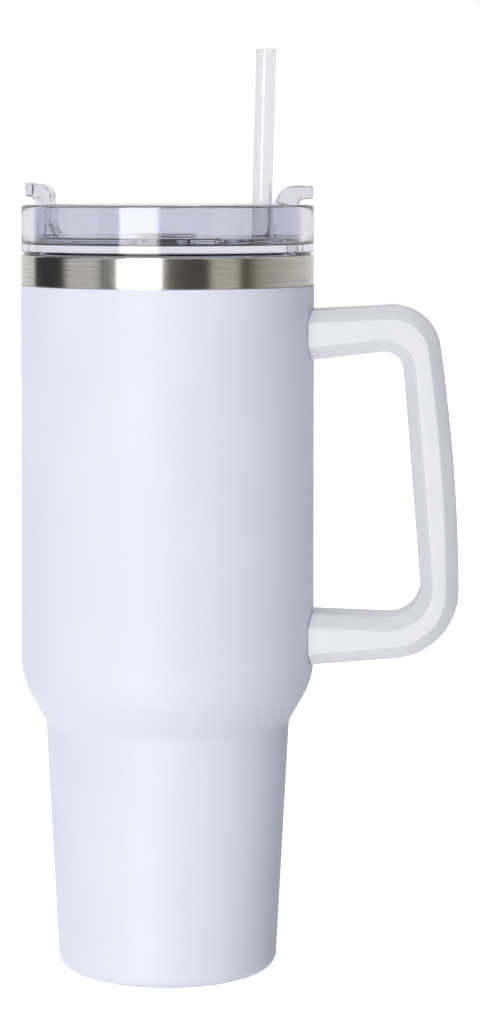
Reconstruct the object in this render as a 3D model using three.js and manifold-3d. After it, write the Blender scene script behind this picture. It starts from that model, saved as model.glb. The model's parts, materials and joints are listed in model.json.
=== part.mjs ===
// Insulated tumbler: a double-walled steel cup with a D handle, a clear lid
// whose cover turns to open the sip opening, and a straw.
// Millimetres, +Z up. The origin is the centre of the base, on the surface the
// tumbler stands on, and the handle points along +X.

import * as THREE from 'three';
import { mergeVertices } from 'three/addons/utils/BufferGeometryUtils.js';
import Module from 'manifold-3d';

const wasm = await Module();
wasm.setup();

// ---------------------------------------------------------------- dimensions

const clearance = 0.3; // gap between pieces that touch or fit together

// Facets
const roundSteps = 48; // round the large turned pieces
const cupSteps = 32; // round pieces about 20 mm across
const boreSteps = 24; // round bores, bosses and the pieces in them
const shankSteps = 20; // round shanks, the straw and the getter
const beadSteps = 16;
const ventSteps = 12;
const hexSteps = 6; // a hexagon
const sectorSteps = 12; // along each arc of a sector
const coarseArc = 45; // degrees for each facet of a small rounding
const mediumArc = 22.5;
const fineArc = 16;
const earArc = 18;
const handleArc = 12;
const overrun = 1; // how far a cutting shape runs past what it cuts

// Steel body, outside
const bodyRadius = 50; // straight upper part
const shoulderStep = 8.4; // how much narrower the body is below the shoulder
const baseTaper = 4.6; // further narrowing from there down to the base
const shoulderFootHeight = 84;
const shoulderTopHeight = 98.5; // where the shoulder cone would meet the straight wall
const shoulderRound = 27; // convex blend above the shoulder
const shoulderFootRound = 6; // concave blend below it
const baseEdgeRound = 4.5;
const baseLipWidth = 1; // flat of the shell's turned-in lip, inside the rounded edge
const rimHeight = 243.2; // top of the steel rim
const bandHeight = 10.6; // bare steel band below the rim
const shellWall = 0.5;

// Rim band, a folded channel
const bandRound = 0.9;
const bandReturn = 4; // inner leg of the fold

// Inner liner and vacuum space
const vacuumGap = 2.5;
const linerWall = 0.5;
const linerFloorHeight = 8; // underside of the liner's floor
const linerCornerRound = 6;
const foilThickness = 0.2;
const foilRise = 9; // foil's lower edge above the shoulder
const foilDrop = 7.2; // foil's upper edge below the rim

// Bottom closure
const plateThickness = 0.6;
const plateHeight = 1.2; // underside of the flat part of the bottom plate
const dimpleRadius = 8;
const dimpleSlope = 2;
const dimpleDepth = 2;
const evacuationHoleRadius = 0.8;
const beadRadius = 3;
const beadFlatRadius = 1.8; // flat under the bead
const plateOverlap = 2.25; // how far the bottom plate lies over the shell's lip
const getterRadius = 5;
const getterThickness = 2.5;
const getterOffset = 16;
const baseCapThickness = 0.9;
const baseGrooveMargin = 7; // from the cap's edge to the groove
const baseGrooveWidth = 10;
const baseGrooveDepth = 0.35;

// Handle. Reaches are from the body's surface to the corners of its side outline.
const handleWidth = 26;
const handleChamfer = 4.4;
const gripReach = { outerTop: 41.9, outerMiddle: 49, outerBottom: 50.9, innerBottom: 37.2, innerTop: 30.1 };
const gripRound = { outerTop: 16.5, outerMiddle: 600, outerBottom: 23.5, innerBottom: 10.8, innerTop: 6.5 };
const gripMiddleRise = 50; // bend in the grip's outer edge, above the lower arm's underside
const upperArmDrop = 8.2; // upper arm's top at its root, below the coat's upper edge
const upperArmThickness = 16.7; // at its root
const upperArmTopRise = 2.4; // from its root to the grip
const upperArmUnderRise = 3.7;
const lowerArmRise = 5.8; // lower arm's underside at its root, above the shoulder
const lowerArmThickness = 17.2; // at its root
const lowerArmUnderRise = 4.7; // from its root to the grip
const lowerArmTopRise = -1;

// Handle fixings
const footWidth = 16;
const footHeight = 10;
const footThickness = 1.2;
const tongueWidth = 12;
const tongueThickness = 4.4;
const tongueReach = 17; // how far the tongue stands out from the body
const screwReach = 10.5; // screw axis, from the body's surface
const screwShankRadius = 1.9;
const screwHeadRadius = 3.4;
const screwHeadHeight = 2;
const screwSocketRadius = 1.4;
const screwSocketDepth = 1.1;
const screwWeb = 2; // handle wall between the screw head and the tongue
const screwCoverThickness = 1.6;

// Lid
const lidWall = 4;
const lidRimHeight = 16.5; // from the lid's underside to the top of its rim wall
const lidEdge = 0.8;
const lidFloorRise = 1; // underside of the floor above the flange's underside
const lidFloorThickness = 2.2;
const skirtWall = 2.6;
const skirtDepth = 15.5;
const mouthFit = 2.9; // radial space between the skirt and the liner, filled by the seal
const sealGrooveFromBottom = 3;
const sealGrooveHeight = 6;
const sealGrooveDepth = 1;
const sealLipThickness = 1.1;
const sealLipRoot = 0.55; // how much thicker a lip is where it leaves the seal's body
const hubRadius = 6.5;
const hubHoleRadius = 2.8;
const hubHoleDepth = 3;

// Turning cover
const coverThickness = 2.2;
const coverEdge = 0.5;
const coverTurn = 50; // degrees from closed to open
const coverRimGap = 0.6; // between the cover and the lid's rim wall
// The two ears differ in the stem's thickness, its top rounding, how far the lip's tip stays inside the lid,
// and how far it rises.
const strawEar = { thickness: 7.3, topRound: 6.8, tipInset: 0, tipLift: 0 };
const sipEar = { thickness: 5, topRound: 4.6, tipInset: 1.3, tipLift: 1.1 };
const earWidth = 16;
const earCornerGap = 0.1; // between the corners of the ear's flat back and the rim wall's facets
const earTopRise = 6.5; // top of the ear above the lid's rim
const earLipThickness = 4.5;
const earUnderRound = 2.2;
const earFootRound = 5.2;
const pivotCapRadius = 10;
const pivotCapThickness = 0.8;
const pivotCapRound = 0.4;

// Sip opening, vent and the pad that closes them
const sipWidth = 6.4;
const sipMargin = 1.4; // between the sip opening and the skirt
const sipHalfAngle = 13; // degrees
const ventGapAngle = 9; // degrees from the end of the sip opening
const ventRadius = 1.2;
const windowMargin = 2.5; // degrees past the sip opening
const ventMargin = 5; // degrees past the vent's centre
const sipPadMargin = 1.3;
const sipPadThickness = 1;

// Straw, its collar and its grommet
const strawRadius = 3.3;
const strawWall = 0.7;
const strawWallGap = 5.1; // between the straw's foot and the liner's wall
const strawTopRise = 53; // above the lid's rim
const strawFloorGap = 1.8; // straw's end above the liner's floor
const strawHolePlay = 0.4;
const collarWall = 0.9;
const collarEarGap = 1.15; // between the collar and the ear next to it
const collarTopDrop = 2.5; // top of the collar below the lid's rim
const slotPlay = 0.5; // between the collar and the cover's slot
const grommetWall = 1.9;
const grommetHeight = 3.4;
const socketWall = 1.4;

// ------------------------------------------------------------ derived places

const shoulderFootRadius = bodyRadius - shoulderStep;
const baseRadius = shoulderFootRadius - baseTaper;
const baseLipRadius = baseRadius - baseEdgeRound - baseLipWidth;
const coatTop = rimHeight - bandHeight;
const linerOutset = shellWall + vacuumGap; // from the shell's outside to the liner's outside
const linerRadius = bodyRadius - linerOutset;
const mouthRadius = linerRadius - linerWall;
const linerFloorTop = linerFloorHeight + linerWall;
const lidRadius = bodyRadius;
const lidUnder = rimHeight + clearance;
const lidTop = lidUnder + lidRimHeight;
const lidFloorUnder = lidUnder + lidFloorRise;
const lidFloorTop = lidFloorUnder + lidFloorThickness;
const recessRadius = lidRadius - lidWall;
const skirtRadius = mouthRadius - mouthFit;
const skirtBottom = lidUnder - skirtDepth;
const skirtInner = skirtRadius - skirtWall;
const coverUnder = lidFloorTop + clearance;
const coverTop = coverUnder + coverThickness;
const coverRadius = recessRadius - coverRimGap;
const facetReach = recessRadius * Math.cos(Math.PI / roundSteps); // the rim wall's radius, mid-facet
const earOuter = Math.sqrt((facetReach - earCornerGap) ** 2 - (earWidth / 2) ** 2);
const sipCentre = 180; // degrees, opposite the straw
const sipOuterRadius = skirtInner - sipMargin;
const sipInnerRadius = sipOuterRadius - sipWidth;
const ventCentre = sipCentre - sipHalfAngle - ventGapAngle;
const strawHoleRadius = strawRadius + strawHolePlay;
const collarRadius = strawHoleRadius + collarWall;
const grommetRadius = strawRadius + clearance + grommetWall;
const strawOffset = earOuter - strawEar.thickness - collarEarGap - collarRadius; // at the cover's top
const strawFootHeight = linerFloorTop + strawFloorGap;
const strawFootOffset = taperRadius(strawFootHeight) - linerOutset - linerWall - strawWallGap - strawRadius;
const strawLean = Math.atan2(strawOffset - strawFootOffset, coverTop - strawFootHeight);
const handleFace = bodyRadius + clearance;

// Outside radius of the tapered lower part at a height.
function taperRadius(height) {
  return baseRadius + (baseTaper * height) / shoulderFootHeight;
}

// ------------------------------------------------------------------- helpers

const radians = THREE.MathUtils.degToRad;
const degrees = THREE.MathUtils.radToDeg;

// Closed outline of [x, y, radius] corners, with an arc in place of each corner that has a radius.
function roundCorners(corners, degreesPerStep) {
  const points = [];
  corners.forEach(([x, y, radius = 0], i) => {
    if (radius === 0) {
      points.push(new THREE.Vector2(x, y));
      return;
    }
    const corner = new THREE.Vector2(x, y);
    const before = new THREE.Vector2(...corners[(i + corners.length - 1) % corners.length]);
    const after = new THREE.Vector2(...corners[(i + 1) % corners.length]);
    const into = before.sub(corner).normalize();
    const out = after.sub(corner).normalize();
    const halfAngle = Math.acos(THREE.MathUtils.clamp(into.dot(out), -1, 1)) / 2;
    const middle = into.clone().add(out).normalize();
    const centre = corner.clone().addScaledVector(middle, radius / Math.sin(halfAngle));
    const start = corner.clone().addScaledVector(into, radius / Math.tan(halfAngle)).sub(centre);
    const turn = Math.PI - 2 * halfAngle;
    const side = Math.sign(into.cross(out)) * -1;
    const steps = Math.max(1, Math.ceil(degrees(turn) / degreesPerStep));
    for (let k = 0; k <= steps; k++) {
      const spoke = start.clone().rotateAround(new THREE.Vector2(), (side * turn * k) / steps);
      points.push(spoke.add(centre));
    }
  });
  return points;
}

// Closed mesh to a solid that can be joined and cut.
function toSolid(geometry) {
  const bare = geometry.clone();
  bare.deleteAttribute('normal');
  bare.deleteAttribute('uv');
  const merged = mergeVertices(bare, 1e-4);
  const corners = [];
  const index = merged.index.array;
  for (let i = 0; i < index.length; i += 3) {
    const [a, b, c] = index.slice(i, i + 3);
    if (a !== b && b !== c && c !== a) corners.push(a, b, c);
  }
  const vertProperties = new Float32Array(merged.attributes.position.array);
  const triVerts = new Uint32Array(corners);
  return new wasm.Manifold(new wasm.Mesh({ numProp: 3, vertProperties, triVerts }));
}

// Solid back to a mesh geometry.
function toGeometry(solid) {
  const mesh = solid.getMesh();
  const geometry = new THREE.BufferGeometry();
  geometry.setAttribute('position', new THREE.BufferAttribute(new Float32Array(mesh.vertProperties), 3));
  geometry.setIndex(new THREE.BufferAttribute(new Uint32Array(mesh.triVerts), 1));
  geometry.computeVertexNormals();
  return geometry;
}

// Twice the signed area of a closed outline: positive when it runs anticlockwise.
function windingOf(points) {
  return points.reduce((sum, p, i) => sum + p.cross(points[(i + 1) % points.length]), 0);
}

// Solid turned about Z from a closed outline of [radius, height, round] corners.
function turned(corners, steps = roundSteps, degreesPerStep = mediumArc) {
  const points = roundCorners(corners, degreesPerStep);
  if (windingOf(points) < 0) points.reverse();
  points.push(points[0].clone());
  const geometry = new THREE.LatheGeometry(points, steps);
  geometry.rotateX(Math.PI / 2);
  return toSolid(geometry);
}

// Upright cylinder between two heights, at x, y.
function cylinder(radius, low, high, x, y, steps) {
  const geometry = new THREE.CylinderGeometry(radius, radius, high - low, steps);
  geometry.rotateX(Math.PI / 2);
  geometry.translate(x, y, (low + high) / 2);
  return toSolid(geometry);
}

// Box between two corners.
function box(low, high) {
  const size = high.map((value, i) => value - low[i]);
  const geometry = new THREE.BoxGeometry(...size);
  geometry.translate(...low.map((value, i) => value + size[i] / 2));
  return toSolid(geometry);
}

// Upright prism of a sector ring with rounded ends, between two angles in degrees.
// The ends are half circles when rounded is true, and radial cuts otherwise.
function ringSector(inner, outer, from, to, low, high, rounded) {
  const shape = new THREE.Shape();
  const middle = (inner + outer) / 2;
  const half = (outer - inner) / 2;
  const start = radians(from);
  const end = radians(to);
  const roundEnd = (angle, first) => {
    if (!rounded) return;
    shape.absarc(middle * Math.cos(angle), middle * Math.sin(angle), half, first, first + Math.PI, false);
  };
  shape.absarc(0, 0, outer, start, end, false);
  roundEnd(end, end);
  shape.absarc(0, 0, inner, end, start, true);
  roundEnd(start, start + Math.PI);
  const options = { depth: high - low, bevelEnabled: false, curveSegments: sectorSteps };
  const geometry = new THREE.ExtrudeGeometry(shape, options);
  geometry.translate(0, 0, low);
  return toSolid(geometry);
}

// Prism along Y, centred on the XZ plane, from an outline of [x, z, round] corners.
function sidePrism(corners, width, chamfer, degreesPerStep) {
  const points = roundCorners(corners, degreesPerStep);
  if (windingOf(points) < 0) points.reverse();
  const depth = width - 2 * chamfer;
  const bevel = { bevelThickness: chamfer, bevelSize: chamfer, bevelOffset: -chamfer, bevelSegments: 1 };
  const options = { depth, bevelEnabled: chamfer > 0, ...bevel };
  const geometry = new THREE.ExtrudeGeometry(new THREE.Shape(points), options);
  geometry.rotateX(Math.PI / 2);
  geometry.translate(0, depth / 2, 0);
  return toSolid(geometry);
}

// The straw's leaning frame: its local Z is the straw's axis, its local zero the cover's top.
const strawFrame = new THREE.Matrix4()
  .makeTranslation(strawOffset, 0, coverTop)
  .multiply(new THREE.Matrix4().makeRotationY(strawLean));

// Height above the standing surface to distance along the straw's axis.
function alongStraw(height) {
  return (height - coverTop) / Math.cos(strawLean);
}

// Solid turned about the straw's axis, from [radius, height] corners.
function turnedOnStraw(corners, steps) {
  const local = corners.map(([radius, height]) => [radius, alongStraw(height)]);
  const geometry = toGeometry(turned(local, steps));
  geometry.applyMatrix4(strawFrame);
  return toSolid(geometry);
}

const tumbler = new THREE.Group();

// Adds one named piece to the model.
function add(name, solid, colour, roughness, metalness) {
  const material = new THREE.MeshStandardMaterial({ color: colour, roughness, metalness });
  const mesh = new THREE.Mesh(toGeometry(solid), material);
  mesh.name = name;
  tumbler.add(mesh);
}

const finish = {
  coat: [0xdcdff0, 0.35, 0],
  steel: [0xb5b2ac, 0.3, 1],
  copper: [0xc08a5a, 0.3, 1],
  clear: [0xd6d6e6, 0.1, 0],
  handle: [0xe4e4ee, 0.4, 0],
  silicone: [0xe6e6ea, 0.6, 0],
  straw: [0xeef0f2, 0.15, 0],
  glass: [0x9db4a8, 0.3, 0],
};

// ---------------------------------------------------------------- steel body

// Body wall from its foot to its top, moved inwards by an inset.
function bodyWall(inset, foot, footRound, top) {
  return [
    [taperRadius(foot) - inset, foot, footRound],
    [shoulderFootRadius - inset, shoulderFootHeight, shoulderFootRound],
    [bodyRadius - inset, shoulderTopHeight, shoulderRound],
    [bodyRadius - inset, top],
  ];
}

function outerShell() {
  const outside = bodyWall(0, 0, baseEdgeRound, coatTop);
  const inside = bodyWall(shellWall, shellWall, baseEdgeRound - shellWall, coatTop);
  const lip = [[baseLipRadius, shellWall], [baseLipRadius, 0]];
  return turned([...outside, ...inside.reverse(), ...lip], roundSteps, fineArc);
}

function rimBand() {
  const inner = linerRadius + clearance;
  const low = coatTop + clearance;
  const fold = rimHeight - bandReturn;
  return turned([
    [bodyRadius, low],
    [bodyRadius, rimHeight, bandRound],
    [inner, rimHeight],
    [inner, fold],
    [inner + shellWall, fold],
    [inner + shellWall, rimHeight - shellWall],
    [bodyRadius - shellWall, rimHeight - shellWall, bandRound - shellWall],
    [bodyRadius - shellWall, low],
  ], roundSteps, coarseArc);
}

function innerLiner() {
  const outset = linerOutset;
  const outside = bodyWall(outset, linerFloorHeight, linerCornerRound, rimHeight);
  const inside = bodyWall(outset + linerWall, linerFloorTop, linerCornerRound - linerWall, rimHeight);
  return turned([[0, linerFloorHeight], ...outside, ...inside.reverse(), [0, linerFloorTop]]);
}

function reflectiveFoil() {
  const inner = linerRadius + clearance;
  const outer = inner + foilThickness;
  const low = shoulderTopHeight + foilRise;
  const high = rimHeight - foilDrop;
  return turned([[inner, low], [outer, low], [outer, high], [inner, high]]);
}

const plateRadius = baseLipRadius + plateOverlap;
const dimpleTop = plateHeight + dimpleDepth;

function bottomPlate() {
  const underside = [
    [evacuationHoleRadius, dimpleTop],
    [dimpleRadius, dimpleTop],
    [dimpleRadius + dimpleSlope, plateHeight],
    [plateRadius, plateHeight],
  ];
  const upper = underside.map(([radius, height]) => [radius, height + plateThickness]);
  return turned([...underside, ...upper.reverse()]);
}

function sealBead() {
  const stem = evacuationHoleRadius - clearance;
  const headTop = dimpleTop - clearance;
  const headBottom = baseCapThickness + clearance;
  return turned([
    [0, headBottom],
    [beadFlatRadius, headBottom],
    [beadRadius, (headTop + headBottom) / 2],
    [beadRadius, headTop],
    [stem, headTop],
    [stem, dimpleTop + plateThickness],
    [0, dimpleTop + plateThickness],
  ], beadSteps);
}

function getter() {
  const low = plateHeight + plateThickness + clearance;
  return cylinder(getterRadius, low, low + getterThickness, 0, getterOffset, shankSteps);
}

function baseCap() {
  const outer = baseLipRadius - clearance;
  const grooveOuter = outer - baseGrooveMargin;
  const grooveInner = grooveOuter - baseGrooveWidth;
  return turned([
    [0, 0],
    [grooveInner, 0],
    [grooveInner, baseGrooveDepth],
    [grooveOuter, baseGrooveDepth],
    [grooveOuter, 0],
    [outer, 0],
    [outer, baseCapThickness],
    [0, baseCapThickness],
  ]);
}

// --------------------------------------------------------- handle and fixings

const screwX = bodyRadius + screwReach;
const upperArmTop = coatTop - upperArmDrop;
const upperArmUnder = upperArmTop - upperArmThickness;
const lowerArmUnder = shoulderTopHeight + lowerArmRise;
const lowerArmTop = lowerArmUnder + lowerArmThickness;

// Height of an arm's edge at a reach, where it rises by so much at the grip's corner.
function edgeHeight(rootHeight, rise, corner, reach) {
  return rootHeight + (rise * reach) / gripReach[corner];
}

// Heights of the fixing stack above an arm's underside at the screw.
function fixingHeights(underside) {
  const coverUpper = underside + screwCoverThickness;
  const headUnder = coverUpper + clearance;
  const headUpper = headUnder + screwHeadHeight;
  const bore = headUpper + clearance;
  const tongueUnder = bore + screwWeb + clearance;
  return { coverUpper, headUnder, headUpper, bore, tongueUnder, tongueUpper: tongueUnder + tongueThickness };
}

const upperFixing = fixingHeights(edgeHeight(upperArmUnder, upperArmUnderRise, 'innerTop', screwReach));
const lowerFixing = fixingHeights(edgeHeight(lowerArmUnder, lowerArmUnderRise, 'outerBottom', screwReach));

// Welded foot and tongue that stand inside a handle root, grown by play on every side.
function bracketBlock(fixing, play) {
  const middle = (fixing.tongueUnder + fixing.tongueUpper) / 2;
  const reach = bodyRadius + tongueReach + play;
  const footReach = handleFace + footThickness + play;
  const halfTongue = tongueWidth / 2 + play;
  const halfFoot = footWidth / 2 + play;
  const tongueLow = [0, -halfTongue, fixing.tongueUnder - play];
  const tongueHigh = [reach, halfTongue, fixing.tongueUpper + play];
  const footLow = [0, -halfFoot, middle - footHeight / 2 - play];
  const footHigh = [2 * bodyRadius, halfFoot, middle + footHeight / 2 + play];
  const footRound = cylinder(footReach, footLow[2], footHigh[2], 0, 0, roundSteps);
  const foot = box(footLow, footHigh).intersect(footRound);
  return box(tongueLow, tongueHigh).add(foot);
}

// The space taken by the body and its gap to the handle.
function bodyClearance() {
  return cylinder(handleFace, 0, rimHeight, 0, 0, roundSteps);
}

function bracket(fixing) {
  const boreRadius = screwShankRadius + clearance;
  const low = fixing.tongueUnder - overrun;
  const high = fixing.tongueUpper + overrun;
  const bore = cylinder(boreRadius, low, high, screwX, 0, shankSteps);
  return bracketBlock(fixing, 0).subtract(bodyClearance()).subtract(bore);
}

function screw(fixing) {
  const body = turned([
    [0, fixing.headUnder],
    [screwHeadRadius, fixing.headUnder],
    [screwHeadRadius, fixing.headUpper],
    [screwShankRadius, fixing.headUpper],
    [screwShankRadius, fixing.tongueUpper],
    [0, fixing.tongueUpper],
  ], shankSteps);
  const socketTop = fixing.headUnder + screwSocketDepth;
  const socket = cylinder(screwSocketRadius, fixing.headUnder - overrun, socketTop, 0, 0, hexSteps);
  return body.subtract(socket).translate([screwX, 0, 0]);
}

// The handle before any cut: its side outline with chamfered long edges.
function handleBlank() {
  const root = -bodyRadius / 2; // reach of the ends inside the body, trimmed off by the saddle cut
  const end = (height, rise, corner) => [bodyRadius + root, edgeHeight(height, rise, corner, root)];
  const turn = (corner, height) => [bodyRadius + gripReach[corner], height, gripRound[corner]];
  return sidePrism([
    end(upperArmTop, upperArmTopRise, 'outerTop'),
    turn('outerTop', upperArmTop + upperArmTopRise),
    turn('outerMiddle', lowerArmUnder + gripMiddleRise),
    turn('outerBottom', lowerArmUnder + lowerArmUnderRise),
    end(lowerArmUnder, lowerArmUnderRise, 'outerBottom'),
    end(lowerArmTop, lowerArmTopRise, 'innerBottom'),
    turn('innerBottom', lowerArmTop + lowerArmTopRise),
    turn('innerTop', upperArmUnder + upperArmUnderRise),
    end(upperArmUnder, upperArmUnderRise, 'innerTop'),
  ], handleWidth, handleChamfer, handleArc);
}

// Everything one fixing takes out of the handle.
function fixingCut(fixing) {
  const below = fixing.coverUpper - screwCoverThickness - overrun;
  const shankTop = fixing.tongueUpper + clearance;
  const headBore = cylinder(screwHeadRadius + clearance, below, fixing.bore, screwX, 0, boreSteps);
  const shankBore = cylinder(screwShankRadius + clearance, below, shankTop, screwX, 0, shankSteps);
  return headBore.add(shankBore).add(bracketBlock(fixing, clearance));
}

function handle() {
  const trimmed = handleBlank().subtract(bodyClearance());
  return trimmed.subtract(fixingCut(upperFixing)).subtract(fixingCut(lowerFixing));
}

// Plug over a screw head, flush with the arm's underside.
function screwCover(fixing) {
  const below = fixing.coverUpper - screwCoverThickness - overrun;
  const plug = cylinder(screwHeadRadius, below, fixing.coverUpper, screwX, 0, boreSteps);
  return plug.intersect(handleBlank());
}

// ----------------------------------------------------------------------- lid

const grooveBottom = skirtBottom + sealGrooveFromBottom;
const grooveTop = grooveBottom + sealGrooveHeight;
const grooveRadius = skirtRadius - sealGrooveDepth;
const collarTop = lidTop - collarTopDrop;
const grommetTop = lidFloorUnder - clearance;
const socketBottom = grommetTop - grommetHeight;

function lidShell() {
  return turned([
    [0, lidFloorUnder],
    [skirtInner, lidFloorUnder],
    [skirtInner, skirtBottom],
    [skirtRadius, skirtBottom, lidEdge],
    [skirtRadius, grooveBottom],
    [grooveRadius, grooveBottom],
    [grooveRadius, grooveTop],
    [skirtRadius, grooveTop],
    [skirtRadius, lidUnder],
    [lidRadius - lidEdge, lidUnder],
    [lidRadius, lidUnder + lidEdge],
    [lidRadius, lidTop, lidEdge],
    [recessRadius, lidTop, lidEdge],
    [recessRadius, lidFloorTop, lidEdge],
    [hubRadius, lidFloorTop],
    [hubRadius, coverTop],
    [hubHoleRadius, coverTop],
    [hubHoleRadius, coverTop - hubHoleDepth],
    [0, coverTop - hubHoleDepth],
  ], roundSteps, coarseArc);
}

// Upright plug on the straw's axis between two heights.
function strawPlug(radius, low, high) {
  return turnedOnStraw([[0, low], [radius, low], [radius, high], [0, high]], boreSteps);
}

function lidBody() {
  const floorMiddle = lidFloorUnder + lidFloorThickness / 2;
  const pocketRadius = grommetRadius + clearance;
  const collar = strawPlug(collarRadius, floorMiddle, collarTop);
  const socket = strawPlug(pocketRadius + socketWall, socketBottom, floorMiddle);
  const pocket = strawPlug(pocketRadius, socketBottom - overrun, lidFloorUnder);
  const hole = strawPlug(strawHoleRadius, socketBottom - overrun, lidTop);
  const below = lidFloorUnder - overrun;
  const above = lidFloorTop + overrun;
  const sipFrom = sipCentre - sipHalfAngle;
  const sipTo = sipCentre + sipHalfAngle;
  const sip = ringSector(sipInnerRadius, sipOuterRadius, sipFrom, sipTo, below, above, false);
  const ventOffset = (sipInnerRadius + sipOuterRadius) / 2;
  const ventX = ventOffset * Math.cos(radians(ventCentre));
  const ventY = ventOffset * Math.sin(radians(ventCentre));
  const vent = cylinder(ventRadius, below, above, ventX, ventY, ventSteps);
  const joined = lidShell().add(collar).add(socket);
  return joined.subtract(pocket).subtract(hole).subtract(sip).subtract(vent);
}

function lidSeal() {
  const inner = grooveRadius + clearance;
  const body = skirtRadius + clearance;
  const tip = mouthRadius - clearance;
  const low = grooveBottom + clearance;
  const high = grooveTop - clearance;
  return turned([
    [inner, low],
    [tip, low],
    [tip, low + sealLipThickness],
    [body, low + sealLipThickness + sealLipRoot],
    [body, high - sealLipThickness - sealLipRoot],
    [tip, high - sealLipThickness],
    [tip, high],
    [inner, high],
  ]);
}

function strawGrommet() {
  const bore = strawRadius + clearance;
  return turnedOnStraw([
    [bore, socketBottom], [grommetRadius, socketBottom], [grommetRadius, grommetTop], [bore, grommetTop],
  ], boreSteps);
}

function pivotCap() {
  const stem = hubHoleRadius - clearance;
  const under = coverTop + clearance;
  const bottom = coverTop - hubHoleDepth + clearance;
  return turned([
    [0, bottom],
    [stem, bottom],
    [stem, under],
    [pivotCapRadius, under],
    [pivotCapRadius, under + pivotCapThickness, pivotCapRound],
    [0, under + pivotCapThickness],
  ], cupSteps);
}

// ------------------------------------------------------------- turning cover

// Side outline of one ear: a stem on the cover, curling out over the lid's rim.
function earOutline(shape) {
  const top = lidTop + earTopRise;
  const lipUnder = top - earLipThickness;
  const inner = earOuter - shape.thickness;
  const root = coverTop - coverThickness / 2;
  return [
    [inner - earFootRound, root],
    [inner - earFootRound, coverTop],
    [inner, coverTop, earFootRound],
    [inner, top, shape.topRound],
    [lidRadius + overrun, top + shape.tipLift],
    [lidRadius + overrun, lipUnder + shape.tipLift],
    [earOuter, lipUnder, earUnderRound],
    [earOuter, root],
  ];
}

function ear(shape, angle) {
  const above = lidTop + earTopRise + shape.tipLift + overrun;
  const reach = cylinder(lidRadius - shape.tipInset, coverUnder, above, 0, 0, roundSteps);
  return sidePrism(earOutline(shape), earWidth, 0, earArc).intersect(reach).rotate([0, 0, angle]);
}

// Pad over the sip opening and the vent, grown by play on every side.
function sipPad(play, low, high) {
  const inner = sipInnerRadius - sipPadMargin;
  const outer = sipOuterRadius + sipPadMargin;
  const playAngle = degrees(play / inner);
  const from = ventCentre - ventMargin - playAngle;
  const to = sipCentre + sipHalfAngle + windowMargin + playAngle;
  return ringSector(inner - play, outer + play, from, to, low, high, false);
}

function rotatingCover() {
  const hubHole = hubRadius + clearance;
  const disc = turned([
    [hubHole, coverUnder],
    [coverRadius, coverUnder, coverEdge],
    [coverRadius, coverTop, coverEdge],
    [hubHole, coverTop],
  ], roundSteps, coarseArc);
  const below = coverUnder - overrun;
  const slotHalf = collarRadius + slotPlay;
  const slotInner = strawOffset - slotHalf;
  const slotOuter = slotInner + 2 * slotHalf;
  const slot = ringSector(slotInner, slotOuter, -coverTurn, 0, below, collarTop + overrun, true);
  const windowInner = sipInnerRadius - clearance;
  const windowOuter = sipOuterRadius + clearance;
  const windowFrom = ventCentre - coverTurn - ventMargin;
  const windowTo = sipCentre - coverTurn + sipHalfAngle + windowMargin;
  const window = ringSector(windowInner, windowOuter, windowFrom, windowTo, below, coverTop + overrun, false);
  const pad = sipPad(clearance, below, coverUnder + sipPadThickness + clearance);
  return disc.add(ear(strawEar, 0)).add(ear(sipEar, 180)).subtract(slot).subtract(window).subtract(pad);
}

function sipSeal() {
  return sipPad(0, coverUnder, coverUnder + sipPadThickness);
}

// --------------------------------------------------------------------- straw

function straw() {
  const bore = strawRadius - strawWall;
  const low = strawFootHeight;
  const high = lidTop + strawTopRise;
  return turnedOnStraw([[bore, low], [strawRadius, low], [strawRadius, high], [bore, high]], shankSteps);
}

// ------------------------------------------------------------------ assembly

add('outer_shell', outerShell(), ...finish.coat);
add('rim_band', rimBand(), ...finish.steel);
add('inner_liner', innerLiner(), ...finish.steel);
add('reflective_foil', reflectiveFoil(), ...finish.copper);
add('bottom_plate', bottomPlate(), ...finish.steel);
add('seal_bead', sealBead(), ...finish.glass);
add('getter', getter(), ...finish.steel);
add('base_cap', baseCap(), ...finish.coat);

add('handle', handle(), ...finish.handle);
add('upper_bracket', bracket(upperFixing), ...finish.steel);
add('lower_bracket', bracket(lowerFixing), ...finish.steel);
add('upper_screw', screw(upperFixing), ...finish.steel);
add('lower_screw', screw(lowerFixing), ...finish.steel);
add('upper_screw_cover', screwCover(upperFixing), ...finish.handle);
add('lower_screw_cover', screwCover(lowerFixing), ...finish.handle);

add('lid_body', lidBody(), ...finish.clear);
add('lid_seal', lidSeal(), ...finish.silicone);
add('straw_grommet', strawGrommet(), ...finish.silicone);
add('pivot_cap', pivotCap(), ...finish.clear);

add('rotating_cover', rotatingCover(), ...finish.clear);
add('sip_seal', sipSeal(), ...finish.silicone);

add('straw', straw(), ...finish.straw);

export default tumbler;
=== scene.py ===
"""Insulated steel tumbler with a D handle, a clear turning lid and a straw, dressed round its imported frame.

Every sub-assembly is a class whose fields are its sizes in millimetres. Places come from the frame's boxes,
so the pieces built here fill the same space as the parts they stand for. Shapes are numpy surfaces: profiles
turned round an axis, sections carried along a path, and slabs with rounded edges.
"""

import json
import logging
import math
from dataclasses import dataclass, field
from enum import Enum
from typing import Any, Iterable, Optional, Sequence

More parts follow.
